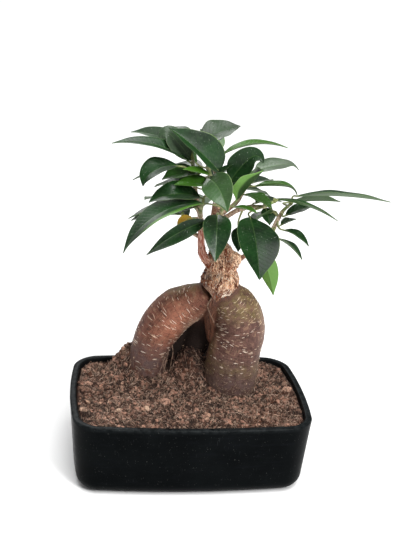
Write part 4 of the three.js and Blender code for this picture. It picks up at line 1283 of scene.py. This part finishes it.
def add_blade(builder, leaf):
    s = np.linspace(0, 1, LEAF_ROWS)
    t = 0.65 * s + 0.35 * (0.5 - 0.5 * np.cos(np.pi * s))
    centre, side, normal = (a[:, None] for a in leaf_frames(leaf, t))
    half = (leaf.wide / 2 * np.interp(t, SHAPE_LINE[:, 0] ** leaf.belly, SHAPE_LINE[:, 1]))[:, None]
    fold = math.radians(leaf.fold)
    phase, swing, twist = RNG.uniform(0, 6.28), RNG.uniform(0.4, 1), RNG.normal(0, 0.05)
    t, v = t[:, None], np.array([-c for c in LEAF_COLUMNS[::-1]] + [0] + LEAF_COLUMNS)
    across = half * v
    fade = np.sin(np.pi * np.clip(t, 0, 1)) ** 0.7
    ripple = np.sin(2 * np.pi * (2.3 * t + 0.4 * np.sign(v)) + phase)
    lift = half * np.abs(v) ** 1.3 * math.sin(fold)
    lift = lift + BLADE_RIPPLE * leaf.wide * swing * ripple * v**2 * fade + twist * across * t
    middle = centre + side * (across * math.cos(fold))[..., None] + normal * lift[..., None]
    rib = np.exp(-((across / RIB_WIDTH) ** 2)) * (1 - t) ** 0.6
    body = BLADE_HALF * (1 - v**8)
    top = middle + normal * (body - RIB_DIP * rib)[..., None]
    under = middle - normal * (body + RIB_KEEL * rib)[..., None]

    rows, columns = across.shape
    inner = slice(1, columns - 1)
    points = np.vstack([top.reshape(-1, 3), under[:, inner].reshape(-1, 3)])
    low = np.arange(rows * columns).reshape(rows, columns)
    low[:, inner] = rows * columns + np.arange(rows * (columns - 2)).reshape(rows, -1)
    quads = grid_faces(rows, columns)
    faces = [quads, low.ravel()[quads][:, ::-1]]
    for row, flip in ((0, 1), (rows - 1, -1)):
        a, b = np.arange(columns) + row * columns, low[row]
        strip = stack(a[1:-2], a[2:-1], b[2:-1], b[1:-2])
        tips = np.array([[a[0], a[1], b[1]], [a[-2], a[-1], b[-2]]])
        faces += [strip[:, ::flip], tips[:, ::flip]]

    def on_skins(values):
        """These values for each point of the upper skin, then of the lower one."""
        values = np.broadcast_to(values, across.shape)
        return np.concatenate([values.ravel(), values[:, inner].ravel()])

    even = np.ones(len(points))
    skin = np.where(np.arange(len(points)) < across.size, 1, -1)
    place = stack(on_skins(t * leaf.long), on_skins(across), skin)
    share = stack(on_skins(t), on_skins(v), leaf.painted_sheen * even)
    # Bands across the blade: above 0, young green with painted light shining through; below 0, painted shade.
    bands = np.array(leaf.bands or [(1, leaf.fresh_and_backlit)])
    fresh_and_backlit = bands[np.searchsorted(bands[:-1, 0], share[:, 1]), 1]
    shade = 0.5 + leaf.shade + RNG.normal(0, 0.1)
    look = stack(np.clip(shade + np.minimum(fresh_and_backlit, 0), 0, 1), fresh_and_backlit.clip(0), leaf.edge * even)
    builder.add(points, faces, leaf_mm=place, leaf_share=share, leaf_look=look)


def add_stem(builder, stem, leaves):
    shares = np.linspace(0, 1, STEM_ROWS)
    centres, radii = spine(stem, shares)
    nodes = np.array([leaf.node for leaf in leaves])
    ring = np.exp(-(((shares[:, None] - nodes) / 0.03) ** 2)).max(1)
    radii = radii * (1 + 0.22 * ring) * (1 + 0.06 * np.sin(shares * 60))
    look = stack(smoothstep(shares, 0.35, 0.9), ring * 0.7, 0 * ring)
    builder.add(*tube(centres, radii, STEM_SIDES), stem_look=np.repeat(look, STEM_SIDES, axis=0))
    if len(leaves) > 1:
        way = unit(centres[-1] - centres[-3])
        size = RNG.uniform(4, 6)
        steps = np.linspace(0, 1, len(BUD))[:, None]
        line = centres[-1] + way * (size * steps - 0.6) + steps**2 * (0, 0, 0.8)
        builder.add(*tube(line, radii[-1] * BUD, 10), stem_look=(1, 0, 0.2))
    shares = np.linspace(0, 1, STALK_ROWS)
    for leaf in leaves:
        start = spine(stem, [leaf.node])[0][0]
        base, way = np.array(leaf.at, float), heading(leaf.turn, leaf.rise)
        bend = base - way * PETIOLE_ARCH * np.linalg.norm(base - start)
        normal = leaf_frames(leaf, np.zeros(1))[2][0]
        end = base + way * (PETIOLE_SEAT + 2) - normal * 0.45
        line = curve([start, bend, base - normal * 0.2, end], shares)
        look = stack(np.linspace(0.75, 1, STALK_ROWS), 0 * shares + 0.15 + 0.1 * leaf.fresh_and_backlit, 0 * shares)
        stalk = tube(line, PETIOLE_RADIUS * np.interp(shares, *STALK_TAPER), STALK_SIDES)
        builder.add(*stalk, stem_look=np.repeat(look, STALK_SIDES, axis=0))


def add_shoots():
    green = leaf_material("waxy_leaf", (11, 37, 12), (25, 65, 24), (84, 138, 34), (66, 96, 50), (96, 130, 70))
    yellow = leaf_material(
        "old_leaf_skin", (142, 104, 26), (186, 150, 44), (200, 168, 60), (168, 132, 48), (206, 178, 96)
    )
    stems = stem_material()
    for name, (stem, *leaves) in SHOOTS.items():
        old = name == "yellow_leaf"
        blades, stalks = Builder(), Builder()
        for leaf in leaves:
            add_blade(blades, leaf)
        add_stem(stalks, stem, leaves)
        piece = blades.make(name + "_blades", yellow if old else green)
        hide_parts(name)
        for made in (piece, stalks.make(name + "_stalks", stems)):
            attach(made, BODY)


# Assembly

add_camera()
add_stage()
add_pot()
add_wood()
add_soil()
add_crumbs()
add_coir()
add_dashes()
add_flakes()
add_clinging_soil()
add_shoots()
